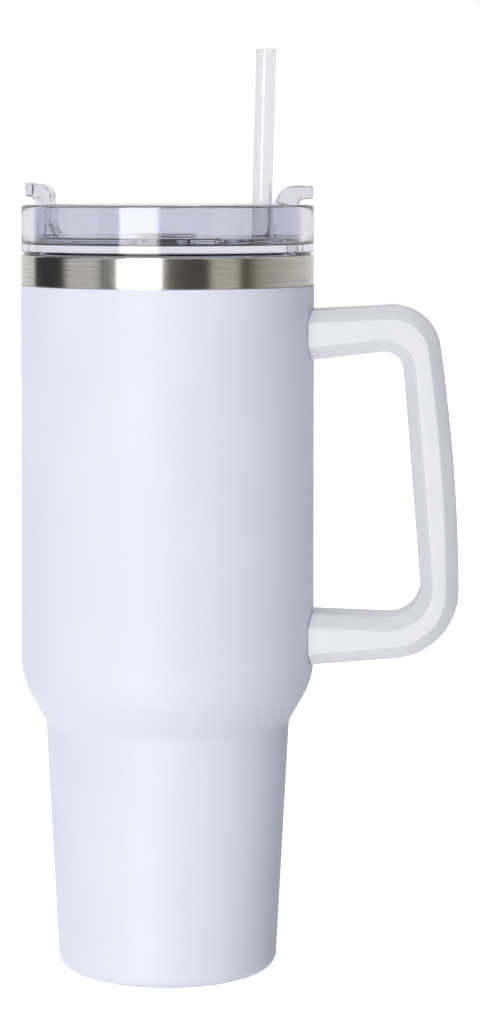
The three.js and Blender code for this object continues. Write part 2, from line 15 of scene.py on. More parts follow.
import bmesh
import bpy
import numpy as np
from mathutils import Euler, Matrix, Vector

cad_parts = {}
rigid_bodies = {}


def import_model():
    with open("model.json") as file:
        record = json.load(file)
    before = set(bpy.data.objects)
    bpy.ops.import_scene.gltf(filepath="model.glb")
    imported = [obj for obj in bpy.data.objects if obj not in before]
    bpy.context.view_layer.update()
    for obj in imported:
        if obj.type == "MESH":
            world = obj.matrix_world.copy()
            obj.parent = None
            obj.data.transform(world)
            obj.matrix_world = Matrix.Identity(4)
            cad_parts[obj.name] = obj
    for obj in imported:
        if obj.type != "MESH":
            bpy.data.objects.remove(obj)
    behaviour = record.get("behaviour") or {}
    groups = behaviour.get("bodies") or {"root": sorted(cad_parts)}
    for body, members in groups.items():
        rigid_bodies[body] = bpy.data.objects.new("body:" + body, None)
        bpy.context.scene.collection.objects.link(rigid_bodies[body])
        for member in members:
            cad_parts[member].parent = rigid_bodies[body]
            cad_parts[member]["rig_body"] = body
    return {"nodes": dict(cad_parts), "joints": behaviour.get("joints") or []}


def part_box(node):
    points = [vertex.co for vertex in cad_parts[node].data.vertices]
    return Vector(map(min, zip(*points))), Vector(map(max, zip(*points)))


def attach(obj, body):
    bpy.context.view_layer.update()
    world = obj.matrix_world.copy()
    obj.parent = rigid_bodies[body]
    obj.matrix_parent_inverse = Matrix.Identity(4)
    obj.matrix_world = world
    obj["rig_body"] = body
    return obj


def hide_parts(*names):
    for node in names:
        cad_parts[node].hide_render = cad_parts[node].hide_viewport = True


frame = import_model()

LOG = logging.getLogger("tumbler")
MM = 0.001  # one millimetre, in the scene's metres
OVERRUN = 1  # how far a cutting shape runs past what it cuts, in millimetres
SMOOTH_ANGLE = math.radians(32)  # edges sharper than this stay crisp
ROUND_STEPS = 192  # facets round a large turned piece
SMALL_STEPS = 64  # facets round a small one
NOISE_LOW, NOISE_HIGH = 0.3, 0.7  # a noise's value stays mostly between these

Corner = tuple[float, float, float]


def box_mm(node: str) -> tuple[np.ndarray, np.ndarray]:
    """Gives a frame node's lowest and highest corners.

    Args:
        node: The node's name.

    Returns:
        Two arrays of three numbers, in millimetres.
    """
    low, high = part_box(node)
    return np.array(low) / MM, np.array(high) / MM


# --------------------------------------------------------------------------- surfaces


@dataclass
class Surface:
    """A mesh being worked out: points in millimetres, quads, and any large faces that close its ends."""

    points: np.ndarray
    quads: np.ndarray
    caps: list[np.ndarray] = field(default_factory=list)

    def moved(self, offset: Sequence[float]) -> "Surface":
        """Returns the surface shifted by an offset in millimetres."""
        return Surface(self.points + np.asarray(offset, float), self.quads, self.caps)

    def turned(self, matrix: Matrix) -> "Surface":
        """Returns the surface turned by a rotation matrix about the origin."""
        turn = np.array(matrix.to_3x3())
        return Surface(self.points @ turn.T, self.quads, self.caps)

    def volume(self) -> float:
        """Works out the signed volume: the sum of the tetrahedra from the origin to each face's triangles.

        Returns:
            The volume in cubic millimetres, below 0 where the faces point inwards.
        """
        quads = self.points[self.quads]
        halves = np.concatenate([quads[:, [0, 1, 2]], quads[:, [0, 2, 3]]])
        total = np.einsum("ij,ij->i", halves[:, 0], np.cross(halves[:, 1], halves[:, 2])).sum()
        for cap in self.caps:
            ring = self.points[cap]
            fan = np.cross(ring[1:-1] - ring[0], ring[2:] - ring[0])
            total += (fan @ ring[0]).sum()
        return float(total / 6)

    def outward(self) -> "Surface":
        """Turns every face over if they point inwards.

        Returns:
            The surface with every face pointing outwards.
        """
        if self.volume() >= 0:
            return self
        return Surface(self.points, self.quads[:, ::-1], [cap[::-1] for cap in self.caps])


def ring_quads(rows: int, columns: int, wrap_rows: bool) -> np.ndarray:
    """Joins a grid of points into quads. The columns always close on themselves.

    Args:
        rows: Number of rows of points.
        columns: Number of points in a row.
        wrap_rows: Whether the last row joins the first.

    Returns:
        An array of four point indices for each quad.
    """
    row = np.arange(rows if wrap_rows else rows - 1)[:, None]
    column = np.arange(columns)[None, :]
    after_row = (row + 1) % rows
    after_column = (column + 1) % columns
    corners = [row * columns + column, row * columns + after_column,
               after_row * columns + after_column, after_row * columns + column]
    return np.stack(corners, axis=-1).reshape(-1, 4)


def filleted(corners: Iterable[Corner], steps: int = 6, closed: bool = True) -> np.ndarray:
    """Replaces each corner of an outline by an arc.

    An arc's centre lies on the corner's bisector, at the radius over the sine of half the corner's angle. Its
    spokes swing evenly from one tangent point to the other.

    Args:
        corners: Points as (x, y, radius). A radius of 0 keeps the corner sharp.
        steps: Spaces between the points of an arc.
        closed: Whether the outline closes on itself. The ends of an open one stay sharp.

    Returns:
        The outline's points, with no two neighbours alike.
    """
    table = np.array([tuple(c) for c in corners], float)
    points, radius = table[:, :2], table[:, 2].copy()
    if not closed:
        radius[[0, -1]] = 0
    into = np.roll(points, 1, axis=0) - points
    out = np.roll(points, -1, axis=0) - points
    into /= np.maximum(np.linalg.norm(into, axis=1, keepdims=True), 1e-9)
    out /= np.maximum(np.linalg.norm(out, axis=1, keepdims=True), 1e-9)
    half = np.arccos(np.clip((into * out).sum(1), -1, 1)) / 2
    half = np.clip(half, 1e-3, math.pi / 2 - 1e-6)
    middle = into + out
    middle /= np.maximum(np.linalg.norm(middle, axis=1, keepdims=True), 1e-9)
    centre = points + middle * (radius / np.sin(half))[:, None]
    start = points + into * (radius / np.tan(half))[:, None] - centre
    side = -np.sign(into[:, 0] * out[:, 1] - into[:, 1] * out[:, 0])
    swing = (side * (math.pi - 2 * half))[:, None] * np.linspace(0, 1, steps + 1)[None, :]
    swing = np.where(radius[:, None] > 0, swing, 0)
    x = start[:, :1] * np.cos(swing) - start[:, 1:] * np.sin(swing)
    y = start[:, :1] * np.sin(swing) + start[:, 1:] * np.cos(swing)
    traced = (np.stack([x, y], -1) + centre[:, None, :]).reshape(-1, 2)
    step = np.linalg.norm(traced - np.roll(traced, 1, axis=0), axis=1)
    keep = step > 1e-5
    keep[0] = True if not closed else keep[0]
    return traced[keep]


def evened(outline: np.ndarray, most: float, closed: bool = True) -> np.ndarray:
    """Adds points along the long stretches of an outline, so that no step is longer than a given length.

    Args:
        outline: The outline's points.
        most: The longest step, in millimetres.
        closed: Whether the outline closes on itself.

    Returns:
        The points with the new ones between them, evenly spaced on each stretch.
    """
    ends = np.roll(outline, -1, axis=0) if closed else outline[1:]
    starts = outline if closed else outline[:-1]
    counts = np.maximum(1, np.ceil(np.linalg.norm(ends - starts, axis=1) / most)).astype(int)
    owner = np.repeat(np.arange(len(starts)), counts)
    first = np.concatenate([[0], np.cumsum(counts)[:-1]])
    share = (np.arange(counts.sum()) - first[owner]) / counts[owner]
    spread = starts[owner] + (ends - starts)[owner] * share[:, None]
    return spread if closed else np.concatenate([spread, outline[-1:]])


def revolved(outline: np.ndarray, steps: int = ROUND_STEPS) -> Surface:
    """Turns an outline of (radius, height) once round the Z axis.

    A point at angle a is (radius cos a, radius sin a, height). An outline that starts and ends on the axis
    gives two poles, and any other closes on itself.

    Args:
        outline: Points as radius and height, in millimetres.
        steps: Facets round the axis.

    Returns:
        The closed surface.
    """
    on_axis = abs(outline[0, 0]) < 1e-6 and abs(outline[-1, 0]) < 1e-6
    angle = np.linspace(0, 2 * math.pi, steps, endpoint=False)
    x = outline[:, :1] * np.cos(angle)
    y = outline[:, :1] * np.sin(angle)
    z = np.repeat(outline[:, 1:], steps, axis=1)
    points = np.stack([x, y, z], -1).reshape(-1, 3)
    return Surface(points, ring_quads(len(outline), steps, not on_axis)).outward()


def turned_piece(
    corners: Sequence[Corner], steps: int = ROUND_STEPS, arc: int = 6, most: float = 4
) -> Surface:
    """Turns an outline with rounded corners: filleted, evened, then revolved.

    Args:
        corners: The closed outline as (radius, height, rounding).
        steps: Facets round the axis.
        arc: Spaces along each rounding.
        most: The longest straight step, in millimetres.

    Returns:
        The closed surface.
    """
    open_ends = corners[0][0] == 0 and corners[-1][0] == 0
    outline = filleted(corners, arc, closed=not open_ends)
    return revolved(evened(outline, most, closed=not open_ends), steps)


def inset(outline: np.ndarray, depth: np.ndarray) -> np.ndarray:
    """Moves a closed outline inwards, once for each depth.

    Each point moves along the bisector of its two edges' normals, further at a corner, so that each edge
    moves by the depth.

    Args:
        outline: Points that run anticlockwise.
        depth: The depths, in millimetres.

    Returns:
        An array of outlines, one for each depth.
    """
    edge = np.roll(outline, -1, axis=0) - outline
    edge /= np.linalg.norm(edge, axis=1, keepdims=True)
    normal = np.stack([-edge[:, 1], edge[:, 0]], 1)
    before = np.roll(normal, 1, axis=0)
    bisector = normal + before
    bisector /= np.maximum((bisector * normal).sum(1, keepdims=True), 0.3)
    return outline[None] + bisector[None] * depth[:, None, None]


def slab(outline: np.ndarray, low: float, high: float, rounding: float = 0, arc: int = 4) -> Surface:
    """Raises a closed outline into a slab whose top and bottom edges are quarter rounds.

    Ring k is the outline moved inwards by rounding (1 - cos t) at a height rounding (1 - sin t) from its
    face, with t running from 90 degrees at the face to 0 at the wall.

    Args:
        outline: The closed outline's points.
        low: Height of the lower face.
        high: Height of the upper face.
        rounding: Radius of the edges. 0 leaves them sharp.
        arc: Spaces along each quarter round.

    Returns:
        The closed surface, with one large face at each end.
    """
    area = (outline[:, 0] * np.roll(outline[:, 1], -1) - outline[:, 1] * np.roll(outline[:, 0], -1)).sum()
    outline = outline if area > 0 else outline[::-1]
    turn = np.linspace(0, math.pi / 2, arc + 1) if rounding > 0 else np.zeros(1)
    depth = rounding * (1 - np.cos(turn))
    rise = rounding * (1 - np.sin(turn)) if rounding > 0 else np.zeros(1)
    depths = np.concatenate([depth[::-1], depth])
    heights = np.concatenate([low + rise[::-1], high - rise])
    rings = inset(outline, depths)
    z = np.broadcast_to(heights[:, None, None], rings.shape[:2] + (1,))
    points = np.concatenate([rings, z], -1).reshape(-1, 3)
    count = len(outline)
    last = (len(heights) - 1) * count
    caps = [np.arange(count)[::-1], np.arange(count) + last]
    return Surface(points, ring_quads(len(heights), count, False), caps).outward()


def end_cap(centre: np.ndarray, half: float, first: float, steps: int) -> np.ndarray:
    """Gives the half circle that ends a slot, without its two end points.

    A point at angle a is the centre plus half (cos a, sin a), with a from first to first plus 180 degrees.

    Args:
        centre: The half circle's centre.
        half: Its radius, in millimetres.
        first: Its first direction, in radians.
        steps: Spaces along it.

    Returns:
        The points between its ends.
    """
    turn = first + np.linspace(0, math.pi, steps + 1)[1:-1]
    return centre + half * np.stack([np.cos(turn), np.sin(turn)], 1)


def sector(
    inner: float, outer: float, start: float, end: float, round_ends: bool, steps: int = 24
) -> np.ndarray:
    """Gives the outline of a stretch of a ring.

    Args:
        inner: Inner radius, in millimetres.
        outer: Outer radius.
        start: First angle, in degrees.
        end: Last angle.
        round_ends: Whether the ends are half circles that stand past the angles.
        steps: Spaces along each arc.

    Returns:
        The closed outline's points, anticlockwise.
    """
    sweep = np.radians(np.linspace(start, end, steps + 1))
    along = np.stack([np.cos(sweep), np.sin(sweep)], 1)
    outside, inside = outer * along, inner * along[::-1]
    if not round_ends:
        return np.concatenate([outside, inside])
    middle, half = (inner + outer) / 2, (outer - inner) / 2
    far = end_cap(middle * along[-1], half, sweep[-1], steps // 2)
    near = end_cap(middle * along[0], half, sweep[0] + math.pi, steps // 2)
    return np.concatenate([outside, far, inside, near])


# ------------------------------------------------------------------ Blender objects


def to_object(name: str, surface: Surface) -> bpy.types.Object:
    """Puts a surface into a new mesh object at the origin, with its poles closed and smooth shading.

    Args:
        name: The object's name.
        surface: Points in millimetres and faces.

    Returns:
        The object, in metres.
    """
    mesh = bpy.data.meshes.new(name)
    faces = surface.quads.tolist() + [cap.tolist() for cap in surface.caps]
    mesh.from_pydata((surface.points * MM).tolist(), [], faces)
    obj = bpy.data.objects.new(name, mesh)
    bpy.context.scene.collection.objects.link(obj)
    close_poles(obj)
    shade(obj)
    return obj


def close_poles(obj: bpy.types.Object) -> None:
    """Welds points that lie on each other, which closes the poles of a turned piece.

    Args:
        obj: The piece, whose mesh is changed.
    """
    work = bmesh.new()
    work.from_mesh(obj.data)
    bmesh.ops.remove_doubles(work, verts=work.verts, dist=1e-7)
    bmesh.ops.dissolve_degenerate(work, edges=work.edges, dist=1e-8)
    work.to_mesh(obj.data)
    work.free()


def shade(obj: bpy.types.Object) -> None:
    """Shades a piece's mesh smooth, apart from its sharp edges."""
    obj.data.shade_smooth()
    obj.data.set_sharp_from_angle(angle=SMOOTH_ANGLE)


class Cut(Enum):
    """What a tool shape does to a piece."""

    JOIN = "UNION"
    REMOVE = "DIFFERENCE"


def worked(obj: bpy.types.Object, steps: Sequence[tuple[Cut, Surface]]) -> bpy.types.Object:
    """Joins shapes to a piece or cuts them out of it, one after another.

    Args:
        obj: The piece, whose mesh is replaced by the result.
        steps: Pairs of what to do and the closed shape to do it with.

    Returns:
        The same object.
    """
    for number, (cut, surface) in enumerate(steps):
        tool = to_object(f"tool_{number}", surface)
        modifier = obj.modifiers.new("cut", "BOOLEAN")
        modifier.operation = cut.value
        modifier.object = tool
        modifier.solver = "EXACT"
        bpy.context.view_layer.update()
        evaluated = obj.evaluated_get(bpy.context.evaluated_depsgraph_get())
        result = bpy.data.meshes.new_from_object(evaluated)
        obj.modifiers.clear()
        old, obj.data = obj.data, result
        bpy.data.meshes.remove(old)
        tool_mesh = tool.data
        bpy.data.objects.remove(tool)
        bpy.data.meshes.remove(tool_mesh)
    close_poles(obj)
    shade(obj)
    return obj


def fit(obj: bpy.types.Object, node: str, finish: bpy.types.Material) -> bpy.types.Object:
    """Dresses a piece and lets it stand for a node of the frame, on that node's body.

    Args:
        obj: The piece.
        node: The frame node it stands for.
        finish: The piece's material.

    Returns:
        The same object.
    """
    obj.data.materials.clear()
    obj.data.materials.append(finish)
    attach(obj, frame["nodes"][node]["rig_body"])
    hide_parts(node)
    LOG.info("%s: %d faces, %s", obj.name, len(obj.data.polygons), finish.name)
    return obj


def dress_node(node: str, finish: bpy.types.Material) -> None:
    """Gives a frame node that stays as it is a better material.

    Args:
        node: The node's name.
        finish: The material.
    """
    obj = frame["nodes"][node]
    obj.data.materials.clear()
    obj.data.materials.append(finish)
    LOG.info("%s: kept, %s", node, finish.name)


# ------------------------------------------------------------------------ materials


def linear(code: str) -> tuple[float, float, float, float]:
    """Turns an sRGB hex colour such as "#dcdff0" to the linear colour that shaders take.

    Args:
        code: The hex colour.

    Returns:
        Red, green, blue and an alpha of 1.
    """
    parts = [int(code[i : i + 2], 16) / 255 for i in (1, 3, 5)]
    red, green, blue = (c / 12.92 if c <= 0.04045 else ((c + 0.055) / 1.055) ** 2.4 for c in parts)
    return red, green, blue, 1.0


def add_node(
    tree: bpy.types.NodeTree, kind: str, inputs: Optional[dict] = None, **settings: Any
) -> bpy.types.Node:
    """Adds one shader node.

    Args:
        tree: The node tree.
        kind: The node's type, such as "ShaderNodeTexNoise".
        inputs: Values by input name or number. A socket is linked and any other value is set.
        **settings: The node's own options.

    Returns:
        The node.
    """
    node = tree.nodes.new(kind)
    for option, value in settings.items():
        setattr(node, option, value)
    for key, value in (inputs or {}).items():
        if isinstance(value, bpy.types.NodeSocket):
            tree.links.new(value, node.inputs[key])
        else:
            node.inputs[key].default_value = value
    return node


def blank_material(name: str) -> tuple[bpy.types.Material, bpy.types.NodeTree]:
    """Makes an empty node material.

    Args:
        name: The material's name.

    Returns:
        The material and its node tree.
    """
    material = bpy.data.materials.new(name)
    material.use_nodes = True
    material.node_tree.nodes.clear()
    return material, material.node_tree


def grain(tree: bpy.types.NodeTree, size_mm: float, detail: float = 2) -> Any:
    """Adds a noise whose lumps have a real size, on the piece's own coordinates.

    Args:
        tree: The node tree.
        size_mm: Size of one lump, in millimetres.
        detail: Octaves of finer lumps.

    Returns:
        The noise's value socket.
    """
    place = add_node(tree, "ShaderNodeTexCoord").outputs["Object"]
    scale = 3 * [1 / (size_mm * MM)]
    mapped = add_node(tree, "ShaderNodeMapping", {"Vector": place, "Scale": scale})
    noise = add_node(tree, "ShaderNodeTexNoise", {"Vector": mapped.outputs[0], "Scale": 1, "Detail": detail})
    return noise.outputs["Fac"]


def span(tree: bpy.types.NodeTree, value: Any, low: float, high: float) -> Any:
    """Spreads a noise value from low to high.

    Args:
        tree: The node tree.
        value: The socket to spread.
        low: The result at the noise's usual lowest value.
        high: The result at its usual highest value.

    Returns:
        The result's socket.
    """
    limits = {"Value": value, "From Min": NOISE_LOW, "From Max": NOISE_HIGH, "To Min": low, "To Max": high}
    return add_node(tree, "ShaderNodeMapRange", limits).outputs["Result"]


def tinted(tree: bpy.types.NodeTree, value: Any, one: str, other: str) -> Any:
    """Mixes two colours by a value.

    Args:
        tree: The node tree.
        value: The socket that mixes them.
        one: Hex colour at 0.
        other: Hex colour at 1.

    Returns:
        The colour socket.
    """
    mix = add_node(tree, "ShaderNodeMix", {"Factor": value}, data_type="RGBA")
    mix.inputs["A"].default_value = linear(one)
    mix.inputs["B"].default_value = linear(other)
    return mix.outputs["Result"]


def bumped(tree: bpy.types.NodeTree, height: Any, strength: float, depth_mm: float) -> Any:
    """Turns a height into a tilt of the surface.

    Args:
        tree: The node tree.
        height: Socket with the height, from 0 to 1.
        strength: Share of the tilt that is used.
        depth_mm: Height of the lumps, in millimetres.

    Returns:
        The normal's socket.
    """
    inputs = {"Height": height, "Strength": strength, "Distance": depth_mm * MM}
    return add_node(tree, "ShaderNodeBump", inputs).outputs[0]


def from_axis(tree: bpy.types.NodeTree, place: Any) -> Any:
    """Measures how far a place is from the vertical axis: the length of its x and y parts.

    Args:
        tree: The node tree.
        place: Socket with the place.

    Returns:
        The distance's socket.
    """
    flat = add_node(tree, "ShaderNodeVectorMath", {0: place, 1: (1, 1, 0)}, operation="MULTIPLY")
    return add_node(tree, "ShaderNodeVectorMath", {0: flat.outputs[0]}, operation="LENGTH").outputs["Value"]


def finish_surface(tree: bpy.types.NodeTree, shader: bpy.types.Node) -> None:
    """Joins a surface shader to the material's output."""
    add_node(tree, "ShaderNodeOutputMaterial", {"Surface": shader.outputs[0]})


@dataclass(frozen=True)
class PowderCoat:
    """Baked powder coat on steel: a satin skin with a very fine orange peel."""

    name: str = "satin_powder_coat"
    colour: str = "#e0e1eb"
    drift: str = "#dcdde9"
    roughness: float = 0.4
    peel_mm: float = 1.1

    def material(self) -> bpy.types.Material:
        """Makes the coat: a slow drift of colour, and lumps that break up the sheen a little.

        Returns:
            The material.
        """
        material, tree = blank_material(self.name)
        wander = span(tree, grain(tree, 38), 0, 1)
        normal = bumped(tree, grain(tree, self.peel_mm, 3), 0.12, 0.02)
        shader = add_node(tree, "ShaderNodeBsdfPrincipled", {
            "Base Color": tinted(tree, wander, self.colour, self.drift),
            "Roughness": span(tree, grain(tree, 6, 3), self.roughness - 0.03, self.roughness + 0.03),
            "IOR": 1.5,
            "Specular IOR Level": 0.14,
            "Normal": normal,
        })
        finish_surface(tree, shader)
        return material


@dataclass(frozen=True)
class BrushedSteel:
    """Stainless steel brushed round the piece's axis, whose fine rings stretch highlights up and down."""

    name: str = "brushed_stainless_steel"
    colour: str = "#cccac7"
    dark: str = "#b4b2ae"
    roughness: float = 0.2
    line_mm: float = 0.22
    line_length_mm: float = 26

    def material(self) -> bpy.types.Material:
        """Makes the steel. The lines follow height plus distance from the axis, so they ring flat faces too.

        Returns:
            The material.
        """
        material, tree = blank_material(self.name)
        place = add_node(tree, "ShaderNodeTexCoord").outputs["Object"]
        parts = add_node(tree, "ShaderNodeSeparateXYZ", {0: place})
        sum_of = {0: parts.outputs["Z"], 1: from_axis(tree, place)}
        across = add_node(tree, "ShaderNodeMath", sum_of, operation="ADD")
        line = add_node(tree, "ShaderNodeCombineXYZ", {
            "X": parts.outputs["X"], "Y": parts.outputs["Y"], "Z": across.outputs[0],
        })
        scale = [1 / (size * MM) for size in (self.line_length_mm, self.line_length_mm, self.line_mm)]
        mapped = add_node(tree, "ShaderNodeMapping", {"Vector": line.outputs[0], "Scale": scale})
        noise = add_node(tree, "ShaderNodeTexNoise", {"Vector": mapped.outputs[0], "Scale": 1, "Detail": 3})
        lines = noise.outputs["Fac"]
        normal = bumped(tree, lines, 0.25, 0.01)
        tangent = add_node(tree, "ShaderNodeTangent", direction_type="RADIAL", axis="Z")
        shader = add_node(tree, "ShaderNodeBsdfPrincipled", {
            "Base Color": tinted(tree, span(tree, lines, 0, 1), self.colour, self.dark),
            "Metallic": 1.0,
            "Roughness": span(tree, lines, self.roughness - 0.05, self.roughness + 0.06),
            "Anisotropic": 0.8,
            "Anisotropic Rotation": 0.25,
            "Tangent": tangent.outputs[0],
            "Normal": normal,
        })
        finish_surface(tree, shader)
        return material


@dataclass(frozen=True)
class ClearPlastic:
    """Clear moulded plastic: polished, with a tint that shows in the thick rim, and slow mould ripples."""

    name: str
    colour: str = "#e4e4ee"
    clear: str = "#fdfdfe"
    rim_mm: float = 44.5
    roughness: float = 0.03
    ior: float = 1.5
    ripple_mm: float = 9
    ripple: float = 0.12

    def material(self) -> bpy.types.Material:
        """Makes the clear plastic, whose ripples bend what is seen through it.

        The tint grows from clear to full between 1 mm inside the rim's distance from the axis and 1 mm
        outside.

        Returns:
            The material.
        """
        material, tree = blank_material(self.name)
        place = add_node(tree, "ShaderNodeTexCoord").outputs["Object"]
        edges = {"From Min": (self.rim_mm - 1) * MM, "From Max": (self.rim_mm + 1) * MM}
        rim = add_node(tree, "ShaderNodeMapRange", {"Value": from_axis(tree, place), **edges})
        normal = bumped(tree, grain(tree, self.ripple_mm, 1), self.ripple, 0.1)
        shader = add_node(tree, "ShaderNodeBsdfPrincipled", {
            "Base Color": tinted(tree, rim.outputs["Result"], self.clear, self.colour),
            "Roughness": span(tree, grain(tree, 3, 2), self.roughness - 0.01, self.roughness + 0.02),
            "IOR": self.ior,
            "Transmission Weight": 1.0,
            "Normal": normal,
        })
        finish_surface(tree, shader)
        return material


@dataclass(frozen=True)
class MouldedPlastic:
    """Moulded polypropylene with a satin mould texture."""

    name: str = "satin_moulded_plastic"
    colour: str = "#dddde0"
    drift: str = "#dadade"
    roughness: float = 0.5
    texture_mm: float = 0.6

    def material(self) -> bpy.types.Material:
        """Makes the plastic: a fine even texture and a slow drift of colour from the melt.

        Returns:
            The material.
        """
        material, tree = blank_material(self.name)
        normal = bumped(tree, grain(tree, self.texture_mm, 2), 0.2, 0.02)
        shader = add_node(tree, "ShaderNodeBsdfPrincipled", {
            "Base Color": tinted(tree, span(tree, grain(tree, 22), 0, 1), self.colour, self.drift),
            "Roughness": span(tree, grain(tree, 2.5, 3), self.roughness - 0.04, self.roughness + 0.04),
            "IOR": 1.49,
            "Specular IOR Level": 0.2,
            "Subsurface Weight": 0.6,
            "Subsurface Radius": (1, 1, 1),
            "Subsurface Scale": 3.5 * MM,
            "Normal": normal,
        })
        finish_surface(tree, shader)
        return material


@dataclass(frozen=True)
class Silicone:
    """Moulded silicone rubber: milky, matt, and soft to light."""

    name: str = "milky_silicone"
    colour: str = "#e9e9ef"
    drift: str = "#dfdfe8"

    def material(self) -> bpy.types.Material:
        """Makes the silicone, with light scattered a millimetre or so under its skin.

        Returns:
            The material.
        """
        material, tree = blank_material(self.name)
        normal = bumped(tree, grain(tree, 0.5, 2), 0.2, 0.02)
        shader = add_node(tree, "ShaderNodeBsdfPrincipled", {
            "Base Color": tinted(tree, span(tree, grain(tree, 8), 0, 1), self.colour, self.drift),
            "Roughness": span(tree, grain(tree, 1.5, 2), 0.5, 0.62),
            "IOR": 1.41,
            "Subsurface Weight": 0.35,
            "Subsurface Scale": 1.5 * MM,
            "Normal": normal,
        })
        finish_surface(tree, shader)
        return material


@dataclass(frozen=True)
class PlainMetal:
    """Pressed or rolled sheet metal inside the walls, with faint crumples or rolling marks."""

    name: str
    colour: str
    dark: str
    roughness: float
    lump_mm: float

    def material(self) -> bpy.types.Material:
        """Makes the metal, its tone and gloss broken up by lumps of the given size.

        Returns:
            The material.
        """
        material, tree = blank_material(self.name)
        lumps = grain(tree, self.lump_mm, 4)
        gloss = grain(tree, self.lump_mm / 3, 2)
        shader = add_node(tree, "ShaderNodeBsdfPrincipled", {
            "Base Color": tinted(tree, span(tree, lumps, 0, 1), self.colour, self.dark),
            "Metallic": 1.0,
            "Roughness": span(tree, gloss, self.roughness - 0.06, self.roughness + 0.08),
            "Normal": bumped(tree, lumps, 0.4, 0.05),
        })
        finish_surface(tree, shader)
        return material


@dataclass(frozen=True)
class FusedGlass:
    """A bead of sealing glass, melted over the evacuation hole."""

    name: str = "fused_sealing_glass"
    colour: str = "#7f948a"
    dark: str = "#4e6158"

    def material(self) -> bpy.types.Material:
        """Makes the bead's glass: dark, glossy and slightly bubbly.

        Returns:
            The material.
        """
        material, tree = blank_material(self.name)
        bubbles = grain(tree, 0.7, 3)
        shader = add_node(tree, "ShaderNodeBsdfPrincipled", {
            "Base Color": tinted(tree, span(tree, bubbles, 0, 1), self.colour, self.dark),
            "Roughness": 0.12,
            "IOR": 1.52,
            "Normal": bumped(tree, bubbles, 0.3, 0.05),
        })
        finish_surface(tree, shader)
        return material


@dataclass
class Finishes:
    """Every material on the tumbler, made once."""

    coat: bpy.types.Material = field(default_factory=lambda: PowderCoat().material())
    handle: bpy.types.Material = field(default_factory=lambda: MouldedPlastic().material())
    steel: bpy.types.Material = field(default_factory=lambda: BrushedSteel().material())
    liner: bpy.types.Material = field(default_factory=lambda: BrushedSteel(
        name="polished_liner_steel", roughness=0.3, line_mm=0.5, line_length_mm=40).material())
    lid: bpy.types.Material = field(default_factory=lambda: ClearPlastic(
        "clear_lilac_copolyester").material())
    cover: bpy.types.Material = field(default_factory=lambda: ClearPlastic(
        "clear_cover_copolyester", colour="#dedee8", clear="#e2e2ea", ripple_mm=7).material())
    straw: bpy.types.Material = field(default_factory=lambda: ClearPlastic(
        "clear_straw_polypropylene", clear="#f6f6f7", roughness=0.18, ior=1.34, ripple=0.04).material())
    silicone: bpy.types.Material = field(default_factory=lambda: Silicone().material())
    foil: bpy.types.Material = field(default_factory=lambda: PlainMetal(
        "copper_foil", "#d79a6a", "#b3734a", 0.28, 9).material())
    sheet: bpy.types.Material = field(default_factory=lambda: PlainMetal(
        "pressed_steel_sheet", "#b9b7b3", "#97948f", 0.36, 4).material())
    zinc: bpy.types.Material = field(default_factory=lambda: PlainMetal(
        "zinc_plated_screw_steel", "#c8cbd0", "#a4a9b2", 0.3, 1.5).material())
    bead: bpy.types.Material = field(default_factory=lambda: FusedGlass().material())


# --------------------------------------------------------------------- steel vessel


